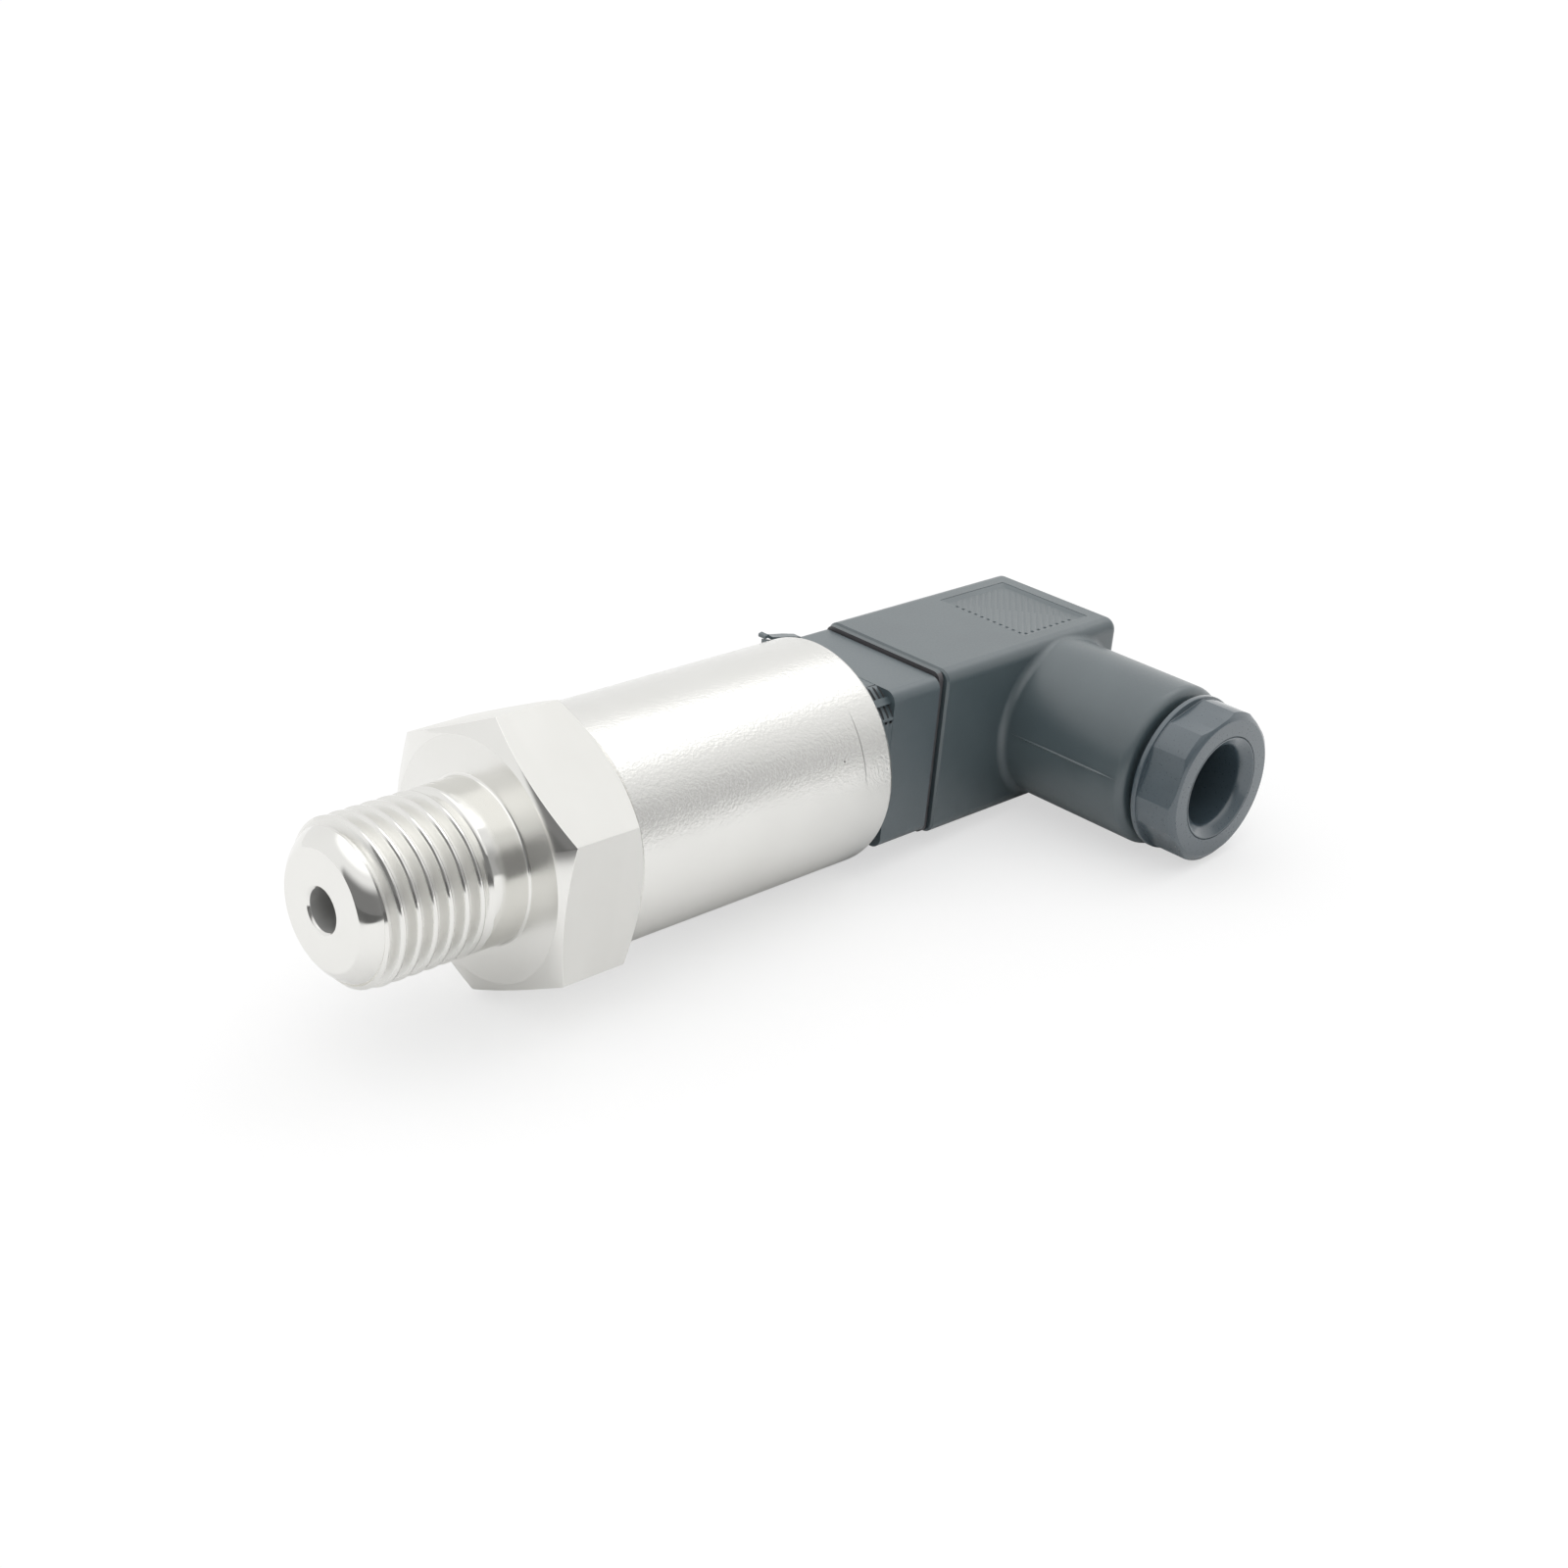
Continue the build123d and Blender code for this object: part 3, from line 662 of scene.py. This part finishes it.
def port_profile(angle):
    """Outline of the port at one angle, from its bore mouth round to its cup and back."""
    flat_r = hexagon_radius(angle, FLATS_R, HEXAGON_TURN, edge=HEXAGON_EDGE)
    front_x = (flat_r - FRONT_CIRCLE_R) * math.tan(math.radians(FRONT_CHAMFER))
    rear_r = min(flat_r - HEXAGON_EDGE_BREAK, REAR_CIRCLE_R)
    rear_x = HEXAGON_LENGTH - (flat_r - rear_r) * math.tan(math.radians(REAR_CHAMFER))

    def fade(x):
        return min(max((RUN_OUT_END - x) / (RUN_OUT_END - RUN_OUT_START), 0.0), 1.0)

    nose = rounded([
        (CHAMBER_X, INLET_R, 0.0, 1),
        (NOSE_X + INLET_EDGE, INLET_R, 0.05, 2),
        (NOSE_X, INLET_R + INLET_EDGE, 0.06, 2),
        *nose_arc(),
        (THREAD_START + THREAD_LEAD, NOSE_R, 0.0, 1),
        (THREAD_START + THREAD_LEAD, INLET_R, 0.0, 1),
    ])[2:-4]
    screw = thread_points(angle, THREAD_START, THREAD_END, THREAD_PITCH, THREAD_R, THREAD_DEPTH,
                          fade, 18, 0.04)
    screw = [(x, min(r, NOSE_R + x - THREAD_START)) for x, r in screw]
    body = rounded([
        (THREAD_END, THREAD_R, 0.0, 1),
        (0.0, THREAD_R, ROOT_ROUND, 5),
        (0.0, FRONT_CIRCLE_R, 0.03, 2),
        (front_x, flat_r, 0.06, 2),
        (rear_x, flat_r, 0.06, 2),
        (HEXAGON_LENGTH, rear_r, 0.05, 2),
        (HEXAGON_LENGTH, COLLAR_R, 0.03, 2),
        (SLEEVE_X, COLLAR_R, 0.02, 1),
        (SLEEVE_X, CUP_R, 0.0, 1),
        (CUP_X, CUP_R, 0.1, 2),
        (CUP_X, CLAMP_R, 0.05, 1),
        (CELL_REAR_X, CLAMP_R, 0.0, 1),
        (CELL_REAR_X, CELL_R, 0.05, 1),
        (CELL_X, CELL_R, 0.0, 1),
        (CELL_X, CHAMBER_R, 0.05, 1),
        (CHAMBER_X, CHAMBER_R, 0.1, 2),
        (CHAMBER_X, INLET_R, 0.0, 1),
        (THREAD_START, INLET_R, 0.0, 1),
    ])[2:-1]
    return nose + screw + body


def make_port():
    """The port, with its flats, its bore and the hexagon's front face in steels of their own."""
    steels = [port_steel, flats_steel, bored_steel, faced_steel]
    angles = angles_with_corners(240, HEXAGON_TURN)
    port = skin("port", port_profile, angles, along_main, steels)
    for face in port.data.polygons:
        out = math.hypot(face.center.y, face.center.z)
        if out > (FLATS_R - 0.2) * MM and abs(face.normal.x) < 0.2:
            face.material_index = steels.index(flats_steel)
        elif out < (INLET_R + 0.02) * MM:
            face.material_index = steels.index(bored_steel)
        elif abs(face.center.x) < 0.01 * MM and out > (THREAD_R + ROOT_ROUND) * MM:
            face.material_index = steels.index(faced_steel)
    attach(port, "transmitter")
    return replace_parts(port, "pressure_port")


def nut_profile(angle):
    """Outline of the gland nut at one angle, from its threaded end to its mouth."""
    flat_r = min(hexagon_radius(angle, NUT_FLATS_R, NUT_TURN), NUT_R)
    lead_r = NUT_THREAD_R - NUT_LEAD
    thread_start, thread_end = NUT_START + NUT_LEAD, NUT_FLANGE - 0.1
    corner = NUT_FRONT_EDGE + NUT_CORNER_SLOPE * max(flat_r - NUT_RIM_R, 0.0)

    def fade(s):
        return min(max((thread_end - s) / NUT_RUN_OUT, 0.0), 1.0)

    lead = rounded([
        (NUT_MOUTH, NUT_BORE_R, 0.0, 1),
        (NUT_START, NUT_BORE_R, 0.12, 2),
        (NUT_START, lead_r, 0.08, 2),
        (thread_start, NUT_THREAD_R, 0.0, 1),
    ])[2:-2]
    screw = thread_points(angle, thread_start, thread_end, NUT_THREAD_PITCH, NUT_THREAD_R,
                          NUT_THREAD_DEPTH, fade, 14)
    screw = [(s, min(r, lead_r + s - NUT_START)) for s, r in screw]
    head = rounded([
        (thread_end, NUT_THREAD_R, 0.0, 1),
        (NUT_FLANGE, NUT_THREAD_R, 0.05, 2),
        (NUT_FLANGE, NUT_FLANGE_R, 0.1, 3),
        (NUT_HEAD, NUT_FLANGE_R, 0.12, 3),
        (NUT_HEAD, flat_r, 0.05, 2),
        (NUT_FRONT - corner, flat_r, 0.04, 2),
        (NUT_FRONT - NUT_FRONT_EDGE, min(flat_r, NUT_RIM_R), 0.06, 2),
        (NUT_FRONT, NUT_RIM_R - 0.3, 0.2, 4),
        (NUT_FRONT, NUT_MOUTH_R + NUT_LINE_HALF_WIDTH, 0.0, 1),
        (NUT_FRONT - NUT_LINE_DEPTH, NUT_MOUTH_R, 0.0, 1),
        (NUT_FRONT, NUT_MOUTH_R - NUT_LINE_HALF_WIDTH, 0.0, 1),
        (NUT_FRONT, NUT_MOUTH_R - 0.15, 0.4, 4),
        (NUT_MOUTH, NUT_BORE_R, 0.9, 8),
        (NUT_START, NUT_BORE_R, 0.0, 1),
    ])[2:-2]
    return lead + screw + head


def make_gland_nut():
    """The gland nut, with its flats' edges kept crisp."""
    angles = angles_with_corners(180, NUT_TURN, NUT_CORNER_OFFSETS)
    nut = skin("gland_nut_moulded", nut_profile, angles, along_gland, [nut_plastic], sharp=15.0)
    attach(nut, "gland_nut")
    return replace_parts(nut, "gland_nut")


def screw_profile(angle):
    """Outline of the fixing screw at one angle, from its tip to its slotted head."""
    lead_r = SCREW_R - SCREW_LEAD

    def fade(x):
        return min(max((SCREW_THREAD_END - x) / SCREW_RUN_OUT, 0.0), 1.0)

    screw = thread_points(angle, SCREW_TIP + SCREW_LEAD, SCREW_THREAD_END, SCREW_PITCH, SCREW_R,
                          SCREW_DEPTH, fade, 8)
    screw = [(x, min(r, lead_r + x - SCREW_TIP)) for x, r in screw]
    head = rounded([
        (SCREW_THREAD_END, SCREW_R, 0.0, 1),
        (SCREW_HEAD, SCREW_R, 0.1, 2),
        (SCREW_HEAD, SCREW_HEAD_R, 0.1, 2),
        (SCREW_REAR, SCREW_HEAD_R, 0.3, 4),
        (SCREW_REAR, 0.0, 0.0, 1),
        (SCREW_TIP, 0.0, 0.0, 1),
    ])[2:-2]
    return [(SCREW_TIP, 0.0), (SCREW_TIP, lead_r)] + screw + head


def make_fixing_screw():
    """The fixing screw, its slot cut with a box."""
    angles = [2 * math.pi * step / 72 for step in range(73)]
    screw = skin("slotted_screw", screw_profile, angles, along_main, [screw_steel], closed=False)
    cutter = bpy.data.meshes.new("slot_cutter")
    box = bmesh.new()
    bmesh.ops.create_cube(box, size=1.0)
    size = Vector((2 * SCREW_SLOT_DEPTH, SCREW_SLOT_WIDTH, 4 * SCREW_HEAD_R)) * MM
    place = Matrix.Translation((SCREW_REAR * MM, 0, 0)) @ Matrix.Diagonal((*size, 1.0))
    bmesh.ops.transform(box, matrix=place, verts=box.verts)
    box.to_mesh(cutter)
    box.free()
    tool = add_object("slot_cutter", cutter)
    cut = screw.modifiers.new("slot", "BOOLEAN")
    cut.object, cut.operation, cut.solver = tool, "DIFFERENCE", "EXACT"
    view = bpy.context.evaluated_depsgraph_get()
    mesh = bpy.data.meshes.new_from_object(screw.evaluated_get(view))
    screw.modifiers.clear()
    screw.data = mesh
    bpy.data.objects.remove(tool)
    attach(screw, "fixing_screw")
    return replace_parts(screw, "fixing_screw")


# Front end of the connector base

def collar_profile(angle):
    """Outline of the base's front end: the square block, its corners turned down and ribbed."""
    side = min(BLOCK_HALF_WIDTH / max(abs(math.cos(angle)), 1e-6),
               BLOCK_HALF_HEIGHT / max(abs(math.sin(angle)), 1e-6))
    first, last = FULL_CORNER_TURN
    whole = math.radians(first) < angle < math.radians(last)
    steps = COLLAR_RIBS * COLLAR_RIB_STEPS
    half = COLLAR_RIB_STEPS / 2
    points = [(COLLAR_FRONT, COLLAR_INNER_R)]
    for step in range(steps + 1):
        rib = abs(step % COLLAR_RIB_STEPS - half) / half
        x = COLLAR_FRONT + (COLLAR_REAR - COLLAR_FRONT) * step / steps
        corner_r = FULL_CORNER_R if whole else COLLAR_RING_R + COLLAR_RIB_HEIGHT * rib
        points.append((x, min(side, corner_r)))
    return points + [(COLLAR_REAR, COLLAR_INNER_R)]


def make_base_front():
    """Close the base's front end behind the sleeve's rim, over the base's own collar ribs, whose faces
    in the gap are painted black as shade.
    """
    shape = cad_copy("connector_base")
    wide, high = (BLOCK_HALF_WIDTH - 0.02) * MM, (BLOCK_HALF_HEIGHT - 0.02) * MM
    for vertex in shape.verts:
        place = vertex.co
        on_tab = TAB_Y[0] * MM < place.y < TAB_Y[1] * MM and place.z > TAB_Z * MM
        in_gap = (COLLAR_FRONT - 0.02) * MM < place.x < (COLLAR_REAR + 0.03) * MM
        outside = abs(place.y) > wide + 0.06 * MM or abs(place.z) > high + 0.06 * MM
        if in_gap and outside and not on_tab:
            place.y = min(max(place.y, -wide), wide)
            place.z = min(max(place.z, -high), high)
    base = finish_mesh(shape, "connector_base_moulding", [base_plastic])
    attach(base, "transmitter")
    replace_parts(base, "connector_base")
    degrees = sorted({step * 3 for step in range(121)} | {45, 135, 225, 315})
    front = skin("base_front", collar_profile, [math.radians(angle) for angle in degrees], along_main,
                 [base_plastic, carrier_plastic], sharp=25.0)
    # Painted shade: the faces inside the block's outline, the ribs in the gap behind the sleeve's rim,
    # get the black carrier plastic instead of the base's own
    for face in front.data.polygons:
        reach = max(abs(face.center.y) / BLOCK_HALF_WIDTH, abs(face.center.z) / BLOCK_HALF_HEIGHT)
        if reach < 0.995 * MM:
            face.material_index = 1
    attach(front, "transmitter")
    return front


def make_tongue():
    """Thin tongue of the moulding's upper far corner, its tip hooked up over the sleeve's rim."""
    shape = bmesh.new()
    rings = []
    for x, z in TONGUE_LINE:
        near, far = TONGUE_Y
        low, high = z - TONGUE_THICKNESS / 2, z + TONGUE_THICKNESS / 2
        rings.append([shape.verts.new(Vector(corner) * MM) for corner in (
            (x, near, low), (x, far, low), (x, far, high), (x, near, high))])
    join_rings(shape, rings)
    tongue = finish_mesh(shape, "corner_tongue", [base_plastic])
    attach(tongue, "transmitter")
    return tongue


def make_gasket():
    """The gasket swollen to its clamped outline, so that its rim shows in the joint, with painted light
    on top: its upward faces are greyer.
    """
    shape = cad_copy("plug_gasket")
    for vertex in shape.verts:
        place = vertex.co
        if max(abs(place.y), abs(place.z)) > GASKET_RIM * MM:
            place.y *= GASKET_SWELL[0]
            place.z *= GASKET_SWELL[1]
            place.x = GASKET_MIDDLE * MM + GASKET_THINNING * (place.x - GASKET_MIDDLE * MM)
    shape.normal_update()
    # Painted light: faces that point up get the lighter grey copy of the rubber, the others the darker
    # brown
    for face in shape.faces:
        face.material_index = 1 if face.normal.z > 0.8 else 0
    gasket = finish_mesh(shape, "clamped_gasket", [gasket_rubber, painted_lit_top_rubber])
    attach(gasket, "transmitter")
    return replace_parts(gasket, "plug_gasket")


# Floor and ribs of the plug's recess

def make_recess_floor():
    """Floor of the recess, with soft slopes up to its edges."""
    half_length = (RECESS_X[1] - RECESS_X[0]) / 2 - RECESS_GAP
    half_width = RECESS_HALF_WIDTH - RECESS_GAP
    centre = (RECESS_X[0] + RECESS_X[1]) / 2
    bend = RECESS_CORNER_R
    shape = bmesh.new()

    def ring(inset, z):
        corners = []
        for quarter, (side_x, side_y) in enumerate(((1, 1), (-1, 1), (-1, -1), (1, -1))):
            for step in range(5):
                turn = math.radians(90 * quarter + 22.5 * step)
                x = side_x * (half_length - inset - bend) + bend * math.cos(turn)
                y = side_y * (half_width - inset - bend) + bend * math.sin(turn)
                corners.append(shape.verts.new(Vector((centre + x, y, z)) * MM))
        return corners

    join_rings(shape, [
        ring(0.0, RECESS_FLOOR + RECESS_GAP),
        ring(0.0, PLUG_TOP - 0.03),
        ring(0.08, PLUG_TOP - 0.04),
        ring(RECESS_SLOPE - 0.15, RECESS_RAISED + 0.03),
        ring(RECESS_SLOPE, RECESS_RAISED),
    ])
    floor = finish_mesh(shape, "recess_floor", [plug_plastic], sharp=60.0)
    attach(floor, "plug")
    return floor


def rib_tree():
    """Geometry tree: a row of slanting ribs cut to the sides of a rectangle."""
    tree = bpy.data.node_groups.new("recess_ribs", "GeometryNodeTree")
    for label, kind, value in (
        ("Count", "NodeSocketInt", 20), ("Pitch", "NodeSocketFloat", 0.0006),
        ("Slant", "NodeSocketFloat", 0.7), ("Half Length", "NodeSocketFloat", 0.004),
        ("Half Width", "NodeSocketFloat", 0.004), ("Rib Width", "NodeSocketFloat", 0.0003),
        ("Rib Height", "NodeSocketFloat", 0.0001), ("Material", "NodeSocketMaterial", None),
    ):
        socket = tree.interface.new_socket(label, in_out="INPUT", socket_type=kind)
        if value is not None:
            socket.default_value = value
    tree.interface.new_socket("Geometry", in_out="OUTPUT", socket_type="NodeSocketGeometry")
    given = tree.nodes.new("NodeGroupInput").outputs
    result = tree.nodes.new("NodeGroupOutput")
    slant = given["Slant"]
    cos, sin = maths(tree, "COSINE", slant), maths(tree, "SINE", slant)
    index = node(tree, "GeometryNodeInputIndex").outputs[0]
    middle = maths(tree, "DIVIDE", maths(tree, "SUBTRACT", given["Count"], 1.0), 2.0)
    offset = maths(tree, "MULTIPLY", maths(tree, "SUBTRACT", index, middle), given["Pitch"])
    # A rib's line is offset * (-sin, cos) + t * (cos, sin), and t runs between the rectangle's sides
    from_x, from_y = maths(tree, "MULTIPLY", offset, sin), maths(tree, "MULTIPLY", offset, cos)
    x_high = maths(tree, "DIVIDE", maths(tree, "ADD", given["Half Length"], from_x), cos)
    x_low = maths(tree, "DIVIDE", maths(tree, "SUBTRACT", from_x, given["Half Length"]), cos)
    y_high = maths(tree, "DIVIDE", maths(tree, "SUBTRACT", given["Half Width"], from_y), sin)
    y_reach = maths(tree, "MULTIPLY", maths(tree, "ADD", given["Half Width"], from_y), -1.0)
    y_low = maths(tree, "DIVIDE", y_reach, sin)
    high, low = maths(tree, "MINIMUM", x_high, y_high), maths(tree, "MAXIMUM", x_low, y_low)
    length = maths(tree, "SUBTRACT", high, low)
    centre = maths(tree, "MULTIPLY", maths(tree, "ADD", high, low), 0.5)
    x = maths(tree, "SUBTRACT", maths(tree, "MULTIPLY", centre, cos), from_x)
    y = maths(tree, "ADD", maths(tree, "MULTIPLY", centre, sin), from_y)
    line = node(tree, "GeometryNodeMeshLine", {"Count": given["Count"]})
    place = node(tree, "ShaderNodeCombineXYZ", {0: x, 1: y, 2: 0.0}).outputs[0]
    moved = node(tree, "GeometryNodeSetPosition", {"Geometry": line.outputs[0], "Position": place})
    ridge = node(tree, "GeometryNodeMeshCylinder", {"Vertices": 4, "Radius": 0.5, "Depth": 1.0})
    laid = node(tree, "GeometryNodeTransform", {"Geometry": ridge.outputs[0],
                                                "Rotation": (0.0, math.pi / 2, 0.0)})
    size = node(tree, "ShaderNodeCombineXYZ", {0: length, 1: given["Rib Width"],
                                               2: maths(tree, "MULTIPLY", given["Rib Height"], 2.0)})
    turn = node(tree, "ShaderNodeCombineXYZ", {2: slant})
    long_enough = node(tree, "FunctionNodeCompare", {0: length, 1: given["Pitch"]},
                       operation="GREATER_THAN")
    ribs = node(tree, "GeometryNodeInstanceOnPoints", {
        "Points": moved.outputs[0], "Instance": laid.outputs[0], "Selection": long_enough.outputs[0],
        "Scale": size.outputs[0], "Rotation": turn.outputs[0]})
    real = node(tree, "GeometryNodeRealizeInstances", {"Geometry": ribs.outputs[0]})
    painted = node(tree, "GeometryNodeSetMaterial", {
        "Geometry": real.outputs[0], "Material": given["Material"]})
    tree.links.new(painted.outputs[0], result.inputs[0])
    return tree


def grown(name, tree, values):
    """Run a geometry tree with inputs given by name, and return its mesh."""
    holder = add_object(name, bpy.data.meshes.new(name))
    modifier = holder.modifiers.new("build", "NODES")
    modifier.node_group = tree
    for item in tree.interface.items_tree:
        if item.item_type == "SOCKET" and item.in_out == "INPUT" and item.name in values:
            modifier[item.identifier] = values[item.name]
    view = bpy.context.evaluated_depsgraph_get()
    mesh = bpy.data.meshes.new_from_object(holder.evaluated_get(view))
    bpy.data.objects.remove(holder)
    return mesh


def make_recess_ribs():
    """Fine slanting ribs on the recess's floor."""
    half_length = (RECESS_X[1] - RECESS_X[0]) / 2 * MM
    mesh = grown("recess_ribs", rib_tree(), {
        "Count": 25, "Pitch": 0.6 * MM, "Slant": math.radians(41),
        "Half Length": half_length - RIB_INSET * MM, "Half Width": (RECESS_HALF_WIDTH - RIB_INSET) * MM,
        "Rib Width": 0.42 * MM, "Rib Height": 0.07 * MM, "Material": plug_plastic})
    centre = (RECESS_X[0] + RECESS_X[1]) / 2
    mesh.transform(Matrix.Translation(Vector((centre, 0.0, RECESS_RAISED)) * MM))
    ribs = add_object("recess_ribs", mesh)
    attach(ribs, "plug")
    return ribs


def make_mould_line(name, x, outward, width=0.22, height=0.1):
    """Thin ridge that the mould's joint leaves along the cable tube, tapered at both ends."""
    shape = bmesh.new()
    start, end = (Vector((x, y, MOULD_LINE_Z)) for y in MOULD_LINE_Y)
    outward = Vector((outward, 0, 0.06)).normalized()
    along = (end - start).normalized()
    across = along.cross(outward).normalized()
    rings = []
    for step in range(MOULD_LINE_STEPS + 1):
        t = step / MOULD_LINE_STEPS
        swell = min(1.0, 6 * t, 6 * (1 - t)) + 0.02
        middle = start.lerp(end, t)
        rings.append([shape.verts.new((middle + side) * MM) for side in (
            across * width / 2 * swell, outward * height * swell,
            across * -width / 2 * swell, outward * -height * swell)])
    join_rings(shape, rings)
    line = finish_mesh(shape, name, [plug_plastic])
    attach(line, "plug")
    return line


make_port()
make_gland_nut()
make_fixing_screw()
make_base_front()
make_tongue()
make_gasket()
make_recess_floor()
make_recess_ribs()
make_mould_line("mould_line_near", MOULD_LINE_NEAR_X, -1)
make_mould_line("mould_line_far", MOULD_LINE_FAR_X, 1)


# Studio: a pale floor under the lying transmitter, the room round it and one soft lamp

def make_floor():
    """Pale floor, nearly white to the camera. Past a slanted edge on its far left it is painted dark
    for reflections only: a painted dark reflection.
    """
    lowest = min(REST_NORMAL.dot(vertex.co) for piece in frame["nodes"].values()
                 for vertex in piece.data.vertices)
    side = REST_NORMAL.orthogonal().normalized()
    other = REST_NORMAL.cross(side)
    middle = REST_NORMAL * lowest
    mesh = bpy.data.meshes.new("floor")
    mesh.from_pydata([middle + side * a * FLOOR_REACH + other * b * FLOOR_REACH
                      for a, b in ((-1, -1), (1, -1), (1, 1), (-1, 1))], [], [(0, 1, 2, 3)])
    floor = add_object("floor", mesh)
    if mesh.polygons[0].normal.dot(REST_NORMAL) < 0:
        mesh.flip_normals()
    material, tree, shader = new_material("pale_floor", Roughness=0.9)
    shader.inputs["Specular IOR Level"].default_value = 0.0
    to_camera = node(tree, "ShaderNodeLightPath").outputs["Is Camera Ray"]
    place = node(tree, "ShaderNodeTexCoord").outputs["Object"]
    x, y, _ = node(tree, "ShaderNodeSeparateXYZ", {0: place}).outputs
    # Painted dark reflection: past a slanted edge on the far left the floor turns dark for reflection
    # rays, while the camera still sees it white
    past_edge = maths(tree, "ADD", y, maths(tree, "MULTIPLY", x, PAINTED_REFLECTION_EDGE_SLANT))
    painted_dark_reflection_mask = maths(tree, "MULTIPLY", between(tree, x, -0.085, -0.07, 1.0, 0.0),
                   between(tree, past_edge, -0.004, 0.012, 1.0, 0.0))
    paper_and_painted_dark_reflection = blend_colours(tree, painted_dark_reflection_mask, PAPER, PAINTED_DARK_REFLECTION)
    tree.links.new(blend_colours(tree, to_camera, paper_and_painted_dark_reflection, WHITE), shader.inputs["Base Color"])
    glow = node(tree, "ShaderNodeEmission", {"Color": WHITE, "Strength": 1.0})
    paper = node(tree, "ShaderNodeMixShader", {
        0: maths(tree, "MULTIPLY", to_camera, FLOOR_GLOW), 1: shader.outputs[0], 2: glow.outputs[0]})
    clear = node(tree, "ShaderNodeBsdfTransparent")
    under = node(tree, "ShaderNodeNewGeometry").outputs["Backfacing"]
    mix = node(tree, "ShaderNodeMixShader", {0: under, 1: paper.outputs[0], 2: clear.outputs[0]})
    tree.links.new(mix.outputs[0], tree.nodes["Material Output"].inputs["Surface"])
    mesh.materials.append(material)


def make_world():
    """White to the camera. Light and reflections get a soft box overhead, pale walls and a dim side."""
    world = bpy.data.worlds.new("studio")
    bpy.context.scene.world = world
    world.use_nodes = True
    tree = world.node_tree
    tree.nodes.clear()
    towards = node(tree, "ShaderNodeTexCoord").outputs["Generated"]
    aim = node(tree, "ShaderNodeVectorMath", {0: towards}, operation="NORMALIZE").outputs[0]

    def part_along(vector, direction):
        product = node(tree, "ShaderNodeVectorMath", {0: vector, 1: direction},
                       operation="DOT_PRODUCT")
        return product.outputs["Value"]

    height = part_along(aim, REST_NORMAL)
    flat = node(tree, "ShaderNodeVectorMath", {0: aim, 1: (1.0, 1.0, 0.0)}, operation="MULTIPLY")
    level_aim = node(tree, "ShaderNodeVectorMath", {0: flat.outputs[0]}, operation="NORMALIZE")
    room_side = between(tree, part_along(level_aim.outputs[0], ROOM_SIDE), 0.12, 0.26)
    rightward = part_along(aim, (1.0, 0.0, 0.0))
    room = between(tree, rightward, -0.7, 0.5, *ROOM_LEVELS)
    pale = between(tree, rightward, -0.8, 0.6, *WALL_LEVELS)
    low = between(tree, height, 0.36, 0.62, 1.0, 0.0)
    wall = blend(tree, maths(tree, "MULTIPLY", room_side, low), pale, room)
    upper_box = between(tree, height, 0.70, 0.80)
    level = blend(tree, upper_box, wall, BOX_LEVEL)
    studio = node(tree, "ShaderNodeBackground", {"Color": WHITE, "Strength": level})
    white = node(tree, "ShaderNodeBackground", {"Color": WHITE, "Strength": 1.0})
    rays = node(tree, "ShaderNodeLightPath")
    seen = maths(tree, "MAXIMUM", rays.outputs["Is Camera Ray"], rays.outputs["Is Transmission Ray"])
    mix = node(tree, "ShaderNodeMixShader", {0: seen, 1: studio.outputs[0], 2: white.outputs[0]})
    node(tree, "ShaderNodeOutputWorld", {"Surface": mix.outputs[0]})


def make_lamp():
    """Weak, wide sun from the right, for the soft shadow on the left."""
    data = bpy.data.lights.new("soft_lamp", "SUN")
    data.energy = LAMP_ENERGY
    data.angle = math.radians(LAMP_ANGLE)
    lamp = add_object("soft_lamp", data)
    lamp.rotation_euler = Vector(LAMP_SIDE).to_track_quat("Z", "Y").to_euler()


def make_camera():
    """The photo's camera, as fitted to the outlines in it."""
    data = bpy.data.cameras.new("camera")
    data.sensor_width = 36.0
    data.lens = CAMERA_LENS
    data.clip_start, data.clip_end = 0.01, 20.0
    camera = add_object("camera", data)
    turn, lift, roll = (math.radians(value) for value in CAMERA_TURNS)
    back = Vector((math.sin(turn) * math.cos(lift), -math.cos(turn) * math.cos(lift),
                   math.sin(lift)))
    level = Vector((math.cos(turn), math.sin(turn), 0.0))
    upward = back.cross(level)
    right = math.cos(roll) * level + math.sin(roll) * upward
    above = -math.sin(roll) * level + math.cos(roll) * upward
    axes = Matrix((right, above, back)).transposed().to_4x4()
    camera.matrix_world = Matrix.Translation(Vector(CAMERA_PLACE) * MM) @ axes
    bpy.context.scene.camera = camera


make_floor()
make_world()
make_lamp()
make_camera()
bpy.context.scene.view_settings.view_transform = "Standard"
